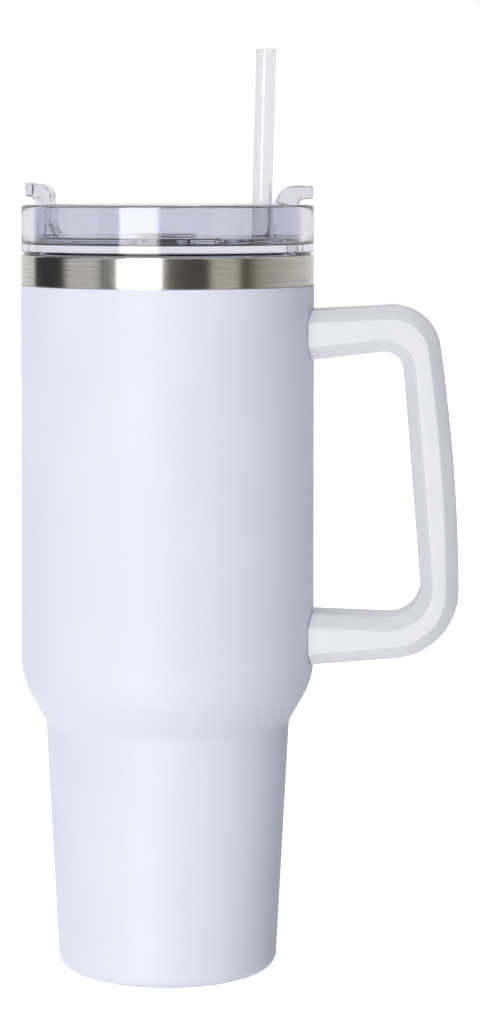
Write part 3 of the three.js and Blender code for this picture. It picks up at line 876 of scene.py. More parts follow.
@dataclass
class Vessel:
    """The double-walled steel body. Heights are above the base."""

    shoulder_step: float = 8.4
    base_taper: float = 4.6
    shoulder_foot: float = 84
    shoulder_top: float = 98.5
    shoulder_round: float = 27
    foot_round: float = 6
    base_round: float = 4.5
    lip_width: float = 1
    wall: float = 0.5
    gap: float = 0.3
    band_round: float = 0.9
    band_return: float = 4
    band_tuck: float = 2
    floor_round: float = 6
    groove_margin: float = 7
    groove_width: float = 10
    groove_depth: float = 0.35
    groove_slope: float = 0.8
    mouth_round: float = 0.2
    coat_edge_round: float = 0.2

    def __post_init__(self) -> None:
        """Takes the places that the frame gives."""
        self.radius = float(box_mm("outer_shell")[1][0])
        self.coat_top = float(box_mm("outer_shell")[1][2])
        self.band_low, self.rim = (float(corner[2]) for corner in box_mm("rim_band"))
        self.liner_radius = float(box_mm("inner_liner")[1][0])
        self.liner_floor = float(box_mm("inner_liner")[0][2])
        self.foot_radius = self.radius - self.shoulder_step
        self.base_radius = self.foot_radius - self.base_taper

    def wall_line(self, inwards: float, foot: float, foot_round: float, top: float) -> list[Corner]:
        """Gives the body wall's corners from its foot to its top.

        Args:
            inwards: How far the line lies inside the outer surface.
            foot: Height of the lowest corner.
            foot_round: Radius of that corner.
            top: Height of the last point.

        Returns:
            Corners as (radius, height, rounding).
        """
        low = self.base_radius + self.base_taper * foot / self.shoulder_foot
        return [
            (low - inwards, foot, foot_round),
            (self.foot_radius - inwards, self.shoulder_foot, self.foot_round),
            (self.radius - inwards, self.shoulder_top, self.shoulder_round),
            (self.radius - inwards, top, 0),
        ]

    def outer_shell(self, finishes: Finishes) -> None:
        """Builds the coated outer wall, turned in under the base.

        Args:
            finishes: The tumbler's materials.
        """
        lip = self.base_radius - self.base_round - self.lip_width
        outside = self.wall_line(0, 0, self.base_round, self.coat_top)
        outside[-1] = (self.radius, self.coat_top, self.coat_edge_round)
        inside = self.wall_line(self.wall, self.wall, self.base_round - self.wall, self.coat_top)[::-1]
        corners = [*outside, *inside, (lip, self.wall, 0.1), (lip, 0, 0.15)]
        shell = to_object("coated_outer_shell", turned_piece(corners, ROUND_STEPS, 10, 5))
        fit(shell, "outer_shell", finishes.coat)

    def rim_band(self, finishes: Finishes) -> None:
        """Builds the bare steel band, folded over at the mouth and stepped in behind the shell's edge.

        Args:
            finishes: The tumbler's materials.
        """
        inner = self.liner_radius + self.gap
        low, fold = self.band_low, self.rim - self.band_return
        tuck = self.radius - 2 * self.wall
        corners = [
            (self.radius, low, 0.12),
            (self.radius, self.rim, self.band_round),
            (inner, self.rim, 0.25),
            (inner, fold, 0.1),
            (inner + self.wall, fold, 0.1),
            (inner + self.wall, self.rim - self.wall, 0),
            (self.radius - self.wall, self.rim - self.wall, self.band_round - self.wall),
            (self.radius - self.wall, low + self.wall, 0),
            (tuck, low + self.wall, 0.1),
            (tuck, low - self.band_tuck, 0),
            (self.radius - self.wall - 0.1, low - self.band_tuck, 0),
            (self.radius - self.wall - 0.1, low, 0.05),
        ]
        band = to_object("steel_rim_band", turned_piece(corners, ROUND_STEPS, 8, 2))
        fit(band, "rim_band", finishes.steel)

    def inner_liner(self, finishes: Finishes) -> None:
        """Builds the inner cup, whose wall keeps an even distance from the outer one.

        Args:
            finishes: The tumbler's materials.
        """
        inwards = self.radius - self.liner_radius
        floor_top = self.liner_floor + self.wall
        outside = self.wall_line(inwards, self.liner_floor, self.floor_round, self.rim)
        inside = self.wall_line(inwards + self.wall, floor_top, self.floor_round - self.wall, self.rim)[::-1]
        inside[0] = (inside[0][0], self.rim, self.mouth_round)
        corners = [(0, self.liner_floor, 0), *outside, *inside, (0, floor_top, 0)]
        liner = to_object("steel_inner_liner", turned_piece(corners, ROUND_STEPS, 10, 6))
        fit(liner, "inner_liner", finishes.liner)

    def base_cap(self, finishes: Finishes) -> None:
        """Builds the coated disc under the base, with a shallow ring pressed into it.

        Args:
            finishes: The tumbler's materials.
        """
        low, high = box_mm("base_cap")
        outer, top = float(high[0]), float(high[2])
        groove = outer - self.groove_margin
        inner = groove - self.groove_width
        corners = [
            (0, 0, 0), (inner, 0, 0.3), (inner + self.groove_slope, self.groove_depth, 0.3),
            (groove - self.groove_slope, self.groove_depth, 0.3), (groove, 0, 0.3), (outer, 0, 0.25),
            (outer, top, 0.1), (0, top, 0),
        ]
        cap = to_object("coated_base_cap", turned_piece(corners, ROUND_STEPS, 4, 4))
        fit(cap, "base_cap", finishes.coat)

    def hidden_pieces(self, finishes: Finishes) -> None:
        """Dresses the pieces inside the walls, which keep the frame's shapes.

        Args:
            finishes: The tumbler's materials.
        """
        dress_node("reflective_foil", finishes.foil)
        dress_node("bottom_plate", finishes.sheet)
        dress_node("getter", finishes.sheet)
        dress_node("seal_bead", finishes.bead)

    def build(self, finishes: Finishes) -> None:
        """Builds and dresses the whole body.

        Args:
            finishes: The tumbler's materials.
        """
        self.outer_shell(finishes)
        self.rim_band(finishes)
        self.inner_liner(finishes)
        self.base_cap(finishes)
        self.hidden_pieces(finishes)


# --------------------------------------------------------------------------- handle


@dataclass
class Handle:
    """The D handle: an eight-sided section carried round a path whose thickness varies.

    Reaches are from the body's surface, and rises are along the arm from its root to the grip.
    """

    chamfer: float = 4.4
    edge_round: float = 1.1
    gap: float = 0.25
    outer_top_reach: float = 41.9
    outer_bottom_reach: float = 50.9
    inner_top_reach: float = 30.1
    inner_bottom_reach: float = 37.2
    grip_bow: float = 1.4
    outer_top_round: float = 16.5
    outer_bottom_round: float = 23.5
    inner_top_round: float = 6.5
    inner_bottom_round: float = 10.8
    upper_thickness: float = 16.7
    upper_top_rise: float = 2.4
    upper_under_rise: float = 3.7
    lower_thickness: float = 17.2
    lower_under_rise: float = 4.7
    lower_top_rise: float = -1
    upper_arm_drop: float = 8.2
    lower_arm_rise: float = 5.8
    arm_steps: int = 14
    corner_steps: int = 22
    grip_steps: int = 44
    cover_thickness: float = 1.6
    cover_play: float = 0.25
    well_flare: float = 0.6
    well_spare: float = 0.2

    def __post_init__(self) -> None:
        """Takes the places that the frame gives."""
        vessel = Vessel()
        self.root = vessel.radius
        self.upper_top = vessel.coat_top - self.upper_arm_drop
        self.lower_under = vessel.shoulder_top + self.lower_arm_rise
        self.half_width = float(box_mm("handle")[1][1])

    def outer_edge(self) -> list[Corner]:
        """Gives the outer side's corners, from the upper root to the lower one.

        Returns:
            Corners as (x, z, rounding).
        """
        top, under = self.upper_top, self.lower_under
        return [
            (self.root, top, 0),
            (self.root + self.outer_top_reach, top + self.upper_top_rise, self.outer_top_round),
            (self.root + self.outer_bottom_reach, under + self.lower_under_rise, self.outer_bottom_round),
            (self.root, under, 0),
        ]

    def inner_edge(self) -> list[Corner]:
        """Gives the inner side's corners, from the upper root to the lower one.

        Returns:
            Corners as (x, z, rounding).
        """
        under = self.upper_top - self.upper_thickness
        top = self.lower_under + self.lower_thickness
        return [
            (self.root, under, 0),
            (self.root + self.inner_top_reach, under + self.upper_under_rise, self.inner_top_round),
            (self.root + self.inner_bottom_reach, top + self.lower_top_rise, self.inner_bottom_round),
            (self.root, top, 0),
        ]

    def stations(self, edge: list[Corner], bow: float) -> np.ndarray:
        """Spaces points along one side: upper arm, corner, grip, corner, lower arm, each with a fixed count.

        The grip's points also stand out by bow times 4 t (1 - t), where t runs from 0 to 1 along it.

        Args:
            edge: The side's four corners.
            bow: How far the middle of the grip stands out.

        Returns:
            Points as x and z.
        """
        traced = filleted(edge, self.corner_steps, closed=False)
        count = self.corner_steps + 1
        first, last = traced[1 : 1 + count], traced[1 + count : 1 + 2 * count]
        share = np.linspace(0, 1, self.arm_steps, endpoint=False)[:, None]
        along = np.linspace(0, 1, self.grip_steps + 2)[1:-1, None]
        upper = traced[0] + (first[0] - traced[0]) * share
        lower = (last[-1] + (traced[-1] - last[-1]) * np.linspace(0, 1, self.arm_steps + 1)[1:, None])
        run = last[0] - first[-1]
        outwards = np.array([-run[1], run[0]]) / np.linalg.norm(run)
        grip = first[-1] + run * along + outwards * bow * 4 * along * (1 - along)
        return np.concatenate([upper, first, grip, last, lower])

    def section(self, half: float) -> np.ndarray:
        """Gives the eight-sided section's ring.

        Args:
            half: Half of the section's thickness.

        Returns:
            Points as (place between the inner and the outer face, sideways place).
        """
        wide, cut, soft = self.half_width, self.chamfer, self.edge_round
        corners = [
            (half, -(wide - cut), soft), (half, wide - cut, soft), (half - cut, wide, soft),
            (cut - half, wide, soft), (-half, wide - cut, soft), (-half, cut - wide, soft),
            (cut - half, -wide, soft), (half - cut, -wide, soft),
        ]
        return evened(filleted(corners, 6), 2.0)

    def surface(self) -> Surface:
        """Carries the section along the handle.

        At each station the section lies between the outer and the inner point: a ring point is the middle
        plus its own place along the line between them, and y sideways. The flat sides stretch with the
        handle's thickness, and the chamfers keep their size. Along the arms each point is also drawn towards
        the body by a share that grows to its root, where x becomes the square root of the body's radius
        squared less y squared, so the roots hug the wall.

        Returns:
            The closed surface, in millimetres.
        """
        outer = self.stations(self.outer_edge(), self.grip_bow)
        inner = self.stations(self.inner_edge(), 0)
        middle = (outer + inner) / 2
        across = outer - inner
        half = np.linalg.norm(across, axis=1) / 2
        across /= 2 * half[:, None]
        pattern = self.section(half.mean())
        y = pattern[:, 1]
        usual = self.half_side(half.mean())
        stretch = self.half_side(half)[:, None] / usual
        kept = np.clip(pattern[:, 0], -usual, usual)
        along = kept * stretch + (pattern[:, 0] - kept)
        flat = middle[:, None, :] + across[:, None, :] * along[:, :, None]
        x, z = flat[..., 0], flat[..., 1]
        x = self.hugged(x, y)
        points = np.stack([x, np.broadcast_to(y, x.shape), z], -1)
        rows, columns = x.shape
        ends = [np.arange(columns)[::-1], np.arange(columns) + (rows - 1) * columns]
        return Surface(points.reshape(-1, 3), ring_quads(rows, columns, False), ends).outward()

    def half_side(self, half: Any) -> Any:
        """Gives half the length of the section's flat side, from half its thickness."""
        return half - self.chamfer - self.edge_round

    def hugged(self, x: np.ndarray, y: np.ndarray) -> np.ndarray:
        """Bends the arms' ends to the body's wall.

        Args:
            x: Distance from the axis for every station and ring point.
            y: Sideways place of each ring point.

        Returns:
            The new distances.
        """
        wall = np.sqrt((self.root + self.gap) ** 2 - y**2)
        rows = np.arange(len(x))
        share = np.clip(1 - rows / self.arm_steps, 0, 1)
        share = np.maximum(share, np.clip(1 - rows[::-1] / self.arm_steps, 0, 1))
        return x + (wall - self.root)[None, :] * share[:, None]

    def cover_place(self, node: str) -> tuple[np.ndarray, float]:
        """Finds where a screw cover lies.

        Args:
            node: The cover's frame node.

        Returns:
            The middle of its visible face, in millimetres, and its radius.
        """
        low, high = box_mm(node)
        place = (low[0] + high[0]) / 2
        upper = node.startswith("upper")
        start = self.upper_top - self.upper_thickness if upper else self.lower_under
        height = start + self.cover_rise(node) * (place - self.root)
        return np.array([place, 0, height]), float(high[0] - low[0]) / 2

    def cover_rise(self, node: str) -> float:
        """Gives how much an arm's underside rises for each millimetre outwards, at a screw cover.

        Args:
            node: The cover's frame node.

        Returns:
            The slope's tangent.
        """
        if node.startswith("upper"):
            return self.upper_under_rise / self.inner_top_reach
        return self.lower_under_rise / self.outer_bottom_reach

    def seated(self, node: str, surface: Surface) -> Surface:
        """Tilts a shape made about Z to an arm's slope and moves it to a screw cover's place.

        Args:
            node: The cover's frame node.
            surface: The shape, whose origin goes to the middle of the cover's visible face.

        Returns:
            The shape in its place.
        """
        tilt = Euler((0, -math.atan(self.cover_rise(node)), 0)).to_matrix()
        return surface.turned(tilt).moved(self.cover_place(node)[0])

    def screw_cover(self, node: str, finishes: Finishes) -> None:
        """Builds one plug over a screw head: a disc with a softened rim and a small pry dimple.

        Args:
            node: The cover's frame node.
            finishes: The tumbler's materials.
        """
        radius = self.cover_place(node)[1]
        corners = [
            (0, 0.35, 0), (0.9, 0.3, 0.3), (1.4, 0, 0.4), (radius, 0, 0.4),
            (radius, self.cover_thickness, 0.1), (0, self.cover_thickness, 0),
        ]
        cover = to_object(f"{node}_plug", self.seated(node, turned_piece(corners, SMALL_STEPS, 4, 1)))
        fit(cover, node, finishes.handle)

    def screw_well(self, node: str) -> Surface:
        """Gives the well that a screw cover sits in, flared at its mouth.

        Args:
            node: The cover's frame node.

        Returns:
            The closed shape to cut out of the handle.
        """
        wall = self.cover_place(node)[1] + self.cover_play
        mouth, floor = wall + self.well_flare, self.cover_thickness + self.well_spare
        corners = [
            (0, -2, 0), (mouth, -2, 0), (mouth, -0.05, 0), (wall, 0.4, 0), (wall, floor, 0), (0, floor, 0),
        ]
        return self.seated(node, turned_piece(corners, SMALL_STEPS))

    def build(self, finishes: Finishes) -> None:
        """Builds the handle with its two screw wells, the covers, and dresses the fixings inside.

        Args:
            finishes: The tumbler's materials.
        """
        covers = ("upper_screw_cover", "lower_screw_cover")
        handle = to_object("chamfered_handle", self.surface())
        worked(handle, [(Cut.REMOVE, self.screw_well(node)) for node in covers])
        fit(handle, "handle", finishes.handle)
        for node in covers:
            self.screw_cover(node, finishes)
        for node in ("upper_bracket", "lower_bracket"):
            dress_node(node, finishes.sheet)
        for node in ("upper_screw", "lower_screw"):
            dress_node(node, finishes.zinc)


# ------------------------------------------------------------------------------ lid


@dataclass
class StrawAxis:
    """The straw's leaning axis, in the plane of the handle."""

    def __post_init__(self) -> None:
        """Takes the lean from the joint along which the straw slides, and the place from the straw's box."""
        joint = next(j for j in frame["joints"] if j["name"] == "straw_slide")
        self.lean = math.atan2(joint["axis"][0], joint["axis"][2])
        low, high = box_mm("straw")
        self.low, self.high = float(low[2]), float(high[2])
        self.radius = float(high[1])
        self.middle = np.array([(low[0] + high[0]) / 2, 0, (low[2] + high[2]) / 2])

    def laid(self, surface: Surface) -> Surface:
        """Leans a surface made about Z, whose heights are true, over to the straw's axis."""
        local = surface.moved((0, 0, -self.middle[2]))
        return local.turned(Euler((0, self.lean, 0)).to_matrix()).moved(self.middle)

    def plug(self, radius: float, low: float, high: float, soft: float = 0) -> Surface:
        """Gives a round plug on the axis between two heights.

        Args:
            radius: The plug's radius.
            low: Lower height.
            high: Upper height.
            soft: Rounding of its edges.

        Returns:
            The closed surface.
        """
        corners = [(0, low, 0), (radius, low, soft), (radius, high, soft), (0, high, 0)]
        return self.laid(turned_piece(corners, SMALL_STEPS, 5, 2))


@dataclass
class Lid:
    """The clear press-in lid: rim wall, floor, hub, plug skirt with its seal, and the straw's collar."""

    wall: float = 4
    edge: float = 0.8
    floor_thickness: float = 2.2
    floor_rise: float = 1
    recess_round: float = 1.2
    skirt_wall: float = 2.6
    mouth_fit: float = 2.9
    groove_rise: float = 3
    groove_height: float = 6
    groove_depth: float = 1
    seal_lip: float = 1.1
    hub_radius: float = 6.5
    hub_hole: float = 2.8
    hub_hole_depth: float = 3
    cover_thickness: float = 2.2
    sip_width: float = 6.4
    sip_margin: float = 1.4
    sip_half_angle: float = 13
    sip_round: float = 1.2
    vent_gap: float = 9
    vent_radius: float = 1.2
    collar_wall: float = 0.9
    collar_drop: float = 2.5
    hole_play: float = 0.4
    grommet_wall: float = 1.9
    grommet_height: float = 3.4
    socket_wall: float = 1.4
    cap_thickness: float = 0.8
    cap_fall: float = 0.3
    cap_slope: float = 1.6
    gap: float = 0.3

    def __post_init__(self) -> None:
        """Takes the places that the frame gives."""
        vessel = Vessel()
        low, high = box_mm("lid_body")
        self.radius, self.top = float(high[0]), float(high[2])
        self.skirt_bottom = float(low[2])
        self.under = vessel.rim + self.gap
        self.floor_under = self.under + self.floor_rise
        self.floor_top = self.floor_under + self.floor_thickness
        self.recess = self.radius - self.wall
        self.mouth = vessel.liner_radius - vessel.wall
        self.skirt = self.mouth - self.mouth_fit
        self.skirt_inner = self.skirt - self.skirt_wall
        self.hub_top = float(box_mm("rotating_cover")[0][2]) + self.cover_thickness
        self.sip_outer = self.skirt_inner - self.sip_margin
        self.sip_inner = self.sip_outer - self.sip_width
        self.vent_angle = 180 - self.sip_half_angle - self.vent_gap
        self.straw = StrawAxis()
        self.hole = self.straw.radius + self.hole_play
        self.collar = self.hole + self.collar_wall
        self.collar_top = self.top - self.collar_drop
        self.grommet = self.straw.radius + self.gap + self.grommet_wall
        self.socket_bottom = self.floor_under - self.gap - self.grommet_height

    def shell(self) -> Surface:
        """Turns the rim wall, floor, hub and skirt as one piece.

        Returns:
            The closed surface.
        """
        groove = self.skirt_bottom + self.groove_rise
        deep = self.skirt - self.groove_depth
        corners = [
            (0, self.floor_under, 0),
            (self.skirt_inner, self.floor_under, 0.8),
            (self.skirt_inner, self.skirt_bottom, 0.5),
            (self.skirt, self.skirt_bottom, 0.8),
            (self.skirt, groove, 0.15),
            (deep, groove, 0.3),
            (deep, groove + self.groove_height, 0.3),
            (self.skirt, groove + self.groove_height, 0.15),
            (self.skirt, self.under, 0.4),
            (self.radius - self.edge, self.under, 0.25),
            (self.radius, self.under + self.edge, 0.4),
            (self.radius, self.top, 1.0),
            (self.recess, self.top, 1.0),
            (self.recess, self.floor_top, self.recess_round),
            (self.hub_radius, self.floor_top, 0.5),
            (self.hub_radius, self.hub_top, 0.25),
            (self.hub_hole, self.hub_top, 0.3),
            (self.hub_hole, self.hub_top - self.hub_hole_depth, 0.3),
            (0, self.hub_top - self.hub_hole_depth, 0),
        ]
        return turned_piece(corners, ROUND_STEPS, 6, 3)

    def body(self, finishes: Finishes) -> None:
        """Builds the lid with its straw collar and socket, sip opening and vent.

        Args:
            finishes: The tumbler's materials.
        """
        middle = self.floor_under + self.floor_thickness / 2
        pocket = self.grommet + self.gap
        straw = self.straw
        half = self.sip_half_angle
        sip = sector(self.sip_inner, self.sip_outer, 180 - half, 180 + half, False)
        below, above = self.floor_under - OVERRUN, self.floor_top + OVERRUN
        lid = to_object("clear_lid_body", self.shell())
        worked(lid, [
            (Cut.JOIN, straw.plug(self.collar, middle, self.collar_top, 0.4)),
            (Cut.JOIN, straw.plug(pocket + self.socket_wall, self.socket_bottom, middle, 0.3)),
            (Cut.REMOVE, straw.plug(pocket, self.socket_bottom - 2 * OVERRUN, self.floor_under)),
            (Cut.REMOVE, straw.plug(self.hole, self.socket_bottom - 2 * OVERRUN, self.top)),
            (Cut.REMOVE, slab(self.softened(sip, self.sip_round), below, above)),
            (Cut.REMOVE, self.vent_drill(below, above)),
        ])
        fit(lid, "lid_body", finishes.lid)

    def vent_drill(self, low: float, high: float) -> Surface:
        """Gives the round drill that makes the vent, beside the sip opening.

        Args:
            low: Lower height.
            high: Upper height.

        Returns:
            The closed surface.
        """
        corners = [(0, low, 0), (self.vent_radius, low, 0), (self.vent_radius, high, 0), (0, high, 0)]
        away, angle = (self.sip_inner + self.sip_outer) / 2, math.radians(self.vent_angle)
        return turned_piece(corners, 32).moved((away * math.cos(angle), away * math.sin(angle), 0))

    @staticmethod
    def softened(outline: np.ndarray, radius: float) -> np.ndarray:
        """Rounds the four corners of a sector outline, whose arcs have equal counts of points.

        Args:
            outline: The sector's points, the outer arc first.
            radius: The rounding.

        Returns:
            The new outline.
        """
        count = len(outline) // 2
        rounding = np.zeros(len(outline))
        rounding[[0, count - 1, count, -1]] = radius
        near = np.zeros(len(outline), bool)
        near[[1, count - 2, count + 1, -2]] = True
        corners = np.column_stack([outline, rounding])[~near]
        return filleted([tuple(c) for c in corners], 6)

    def seal(self, finishes: Finishes) -> None:
        """Builds the silicone ring in the skirt's groove, with two lips that reach for the liner.

        Args:
            finishes: The tumbler's materials.
        """
        (_, _, low), (tip, _, high) = box_mm("lid_seal")
        inner, body = self.skirt - self.groove_depth + self.gap, self.skirt + self.gap
        lip, root = self.seal_lip, self.seal_lip * 1.5
        corners = [
            (inner, low, 0.2), (tip, low, 0.3), (tip, low + lip, 0.5), (body, low + root, 0.5),
            (body, high - root, 0.5), (tip, high - lip, 0.5), (tip, high, 0.3), (inner, high, 0.2),
        ]
        ring = to_object("silicone_lid_seal", turned_piece(corners, ROUND_STEPS, 4, 1.5))
        fit(ring, "lid_seal", finishes.silicone)

    def grommet_ring(self, finishes: Finishes) -> None:
        """Builds the silicone ring that holds the straw under the floor, with a waist in its bore.

        Args:
            finishes: The tumbler's materials.
        """
        bore = self.straw.radius + self.gap
        low, high = self.socket_bottom, self.floor_under - self.gap
        middle, mouth = (low + high) / 2, bore + 0.5
        corners = [
            (mouth, low, 0.2), (self.grommet, low, 0.4), (self.grommet, high, 0.4), (mouth, high, 0.2),
            (bore, middle + 0.8, 0.4), (bore, middle - 0.8, 0.4),
        ]
        ring = self.straw.laid(turned_piece(corners, SMALL_STEPS, 4, 1))
        fit(to_object("silicone_straw_grommet", ring), "straw_grommet", finishes.silicone)

    def pivot(self, finishes: Finishes) -> None:
        """Builds the low domed cap that holds the cover on its hub.

        Args:
            finishes: The tumbler's materials.
        """
        (_, _, bottom), (radius, _, top) = box_mm("pivot_cap")
        under = top - self.cap_thickness
        stem = self.hub_hole - self.gap
        corners = [
            (0, bottom, 0), (stem, bottom, 0.4), (stem, under, 0.2), (radius, under, 0.15),
            (radius, top - self.cap_fall, 0.2), (radius - self.cap_slope, top, 2), (0, top, 0),
        ]
        cap = to_object("clear_pivot_cap", turned_piece(corners, 96, 6, 1.5))
        fit(cap, "pivot_cap", finishes.lid)

    def build(self, finishes: Finishes) -> None:
        """Builds and dresses the lid's pieces.

        Args:
            finishes: The tumbler's materials.
        """
        self.body(finishes)
        self.seal(finishes)
        self.grommet_ring(finishes)
        self.pivot(finishes)


@dataclass(frozen=True)
class EarShape:
    """What sets one finger ear apart: where it stands, in degrees, its sizes in millimetres, and its draft.

    The draft is how much each side comes in for each millimetre outwards. Below 0 the ear widens.
    """

    angle: float
    thickness: float
    top_round: float
    tip_inset: float
    tip_lift: float
    draft: float


@dataclass
class Cover:
    """The turning cover: a clear disc with two finger ears, a slot for the collar and a window."""

    turn: float = 50
    edge: float = 0.5
    straw_ear: EarShape = EarShape(0, 7.3, 6.8, 0, 0, 0.1)
    sip_ear: EarShape = EarShape(180, 5, 4.6, 1.3, 1.1, -0.16)
    ear_rise: float = 6.5
    ear_width: float = 16
    ear_wall_gap: float = 0.9
    lip_thickness: float = 4.5
    ear_under_round: float = 2.2
    ear_foot_round: float = 5.2
    ear_edge_round: float = 0.8
    ear_tip_round: float = 0.7
    ear_tip_play: float = 0.02
    ear_sink: float = 2
    slot_play: float = 0.5
    window_margin: float = 2.5
    window_play: float = 0.3
    window_round: float = 1.5
    pad_margin: float = 1.3
    pad_thickness: float = 1
    pad_play: float = 0.3
    hub_play: float = 0.3

    def __post_init__(self) -> None:
        """Takes the places that the frame gives."""
        self.lid = Lid()
        low, high = box_mm("rotating_cover")
        self.under = float(low[2])
        self.top = self.lid.hub_top
        self.ear_top = self.lid.top + self.ear_rise
        self.radius = float(high[1])
        self.ear_outer = self.lid.recess - self.ear_wall_gap

    def ear(self, shape: EarShape) -> Surface:
        """Builds one ear: its side outline carried across a short stretch of the lid's circle.

        A point s across stands at y, which is s less the draft's share, and at the square root of its radius
        squared less y squared, so the tip follows the circle.

        Args:
            shape: Where the ear stands, and its own sizes.

        Returns:
            The closed surface.
        """
        root = self.top - self.ear_sink
        lip_under = self.ear_top - self.lip_thickness
        tip = self.lid.radius - shape.tip_inset - self.ear_tip_play
        inner = self.ear_outer - shape.thickness
        corners = [
            (inner - self.ear_foot_round, root, 0),
            (inner - self.ear_foot_round, self.top, 0),
            (inner, self.top, self.ear_foot_round),
            (inner, self.ear_top, shape.top_round),
            (tip, self.ear_top + shape.tip_lift, self.ear_tip_round),
            (tip, lip_under + shape.tip_lift, self.ear_tip_round),
            (self.ear_outer, lip_under, self.ear_under_round),
            (self.ear_outer, root, 0),
        ]
        outline = evened(filleted(corners, 12), 1.5)
        half = self.ear_width / 2
        block = slab(outline, -half, half, self.ear_edge_round, 5)
        x, z, across = block.points.T
        y = across * (1 - shape.draft * (x - inner) / half)
        points = np.stack([np.sqrt(x**2 - y**2), y, z], 1)
        turn = Euler((0, 0, math.radians(shape.angle))).to_matrix()
        return Surface(points, block.quads, block.caps).turned(turn).outward()

    def pad_outline(self, play: float) -> np.ndarray:
        """Gives the sip pad's outline, grown on every side.

        Args:
            play: How much it is grown by.

        Returns:
            The outline's points.
        """
        lid = self.lid
        inner, outer = lid.sip_inner - self.pad_margin, lid.sip_outer + self.pad_margin
        extra = math.degrees(play / inner)
        start = lid.vent_angle - 2 * self.window_margin - extra
        end = 180 + lid.sip_half_angle + self.window_margin + extra
        return lid.softened(sector(inner - play, outer + play, start, end, False), self.window_round)

    def body(self, finishes: Finishes) -> None:
        """Builds the disc with its ears, then cuts the slot, the window and the pad's pocket.

        Args:
            finishes: The tumbler's materials.
        """
        lid = self.lid
        hub = lid.hub_radius + self.hub_play
        corners = [
            (hub, self.under, 0.2), (self.radius, self.under, self.edge),
            (self.radius, self.top, self.edge), (hub, self.top, 0.2),
        ]
        half = lid.collar + self.slot_play
        at = lid.straw.middle[0] + (self.top - lid.straw.middle[2]) * math.tan(lid.straw.lean)
        slot = sector(at - half, at + half, -self.turn, 0, True)
        window = lid.softened(sector(
            lid.sip_inner - self.window_play, lid.sip_outer + self.window_play,
            lid.vent_angle - self.turn - 2 * self.window_margin,
            180 - self.turn + lid.sip_half_angle + self.window_margin, False), self.window_round)
        below, above = self.under - OVERRUN, self.top + OVERRUN
        pocket = slab(self.pad_outline(self.pad_play), below, self.under + self.pad_thickness + self.pad_play)
        disc = to_object("clear_rotating_cover", turned_piece(corners, ROUND_STEPS, 5, 3))
        worked(disc, [
            (Cut.JOIN, self.ear(self.sip_ear)),
            (Cut.JOIN, self.ear(self.straw_ear)),
            (Cut.REMOVE, slab(slot, below, lid.collar_top + OVERRUN)),
            (Cut.REMOVE, slab(window, below, above)),
            (Cut.REMOVE, pocket),
        ])
        fit(disc, "rotating_cover", finishes.cover)

    def pad(self, finishes: Finishes) -> None:
        """Builds the silicone pad that closes the sip opening and the vent."""
        block = slab(self.pad_outline(0), self.under, self.under + self.pad_thickness, 0.25)
        fit(to_object("silicone_sip_pad", block), "sip_seal", finishes.silicone)

    def build(self, finishes: Finishes) -> None:
        """Builds and dresses the cover and its pad."""
        self.body(finishes)
        self.pad(finishes)


@dataclass
class Straw:
    """The clear straw: a plain tube with its two ends melted round."""

    wall: float = 0.7
    end_round: float = 0.3

    def build(self, finishes: Finishes) -> None:
        """Builds and dresses the straw.

        Args:
            finishes: The tumbler's materials.
        """
        axis = StrawAxis()
        bore = axis.radius - self.wall
        half = (axis.high - axis.low) / 2 / math.cos(axis.lean) - axis.radius * math.sin(abs(axis.lean))
        low, high = axis.middle[2] - half, axis.middle[2] + half
        soft = self.end_round
        corners = [(bore, low, soft), (axis.radius, low, soft), (axis.radius, high, soft), (bore, high, soft)]
        tube = axis.laid(turned_piece(corners, SMALL_STEPS, 4, 5))
        fit(to_object("clear_straw", tube), "straw", finishes.straw)


# --------------------------------------------------------------------------- studio


@dataclass(frozen=True)
class Lobe:
    """Soft light from one side: its bearing from the front in degrees, its strength and its tint."""

    bearing: float
    strength: float
    tint: str


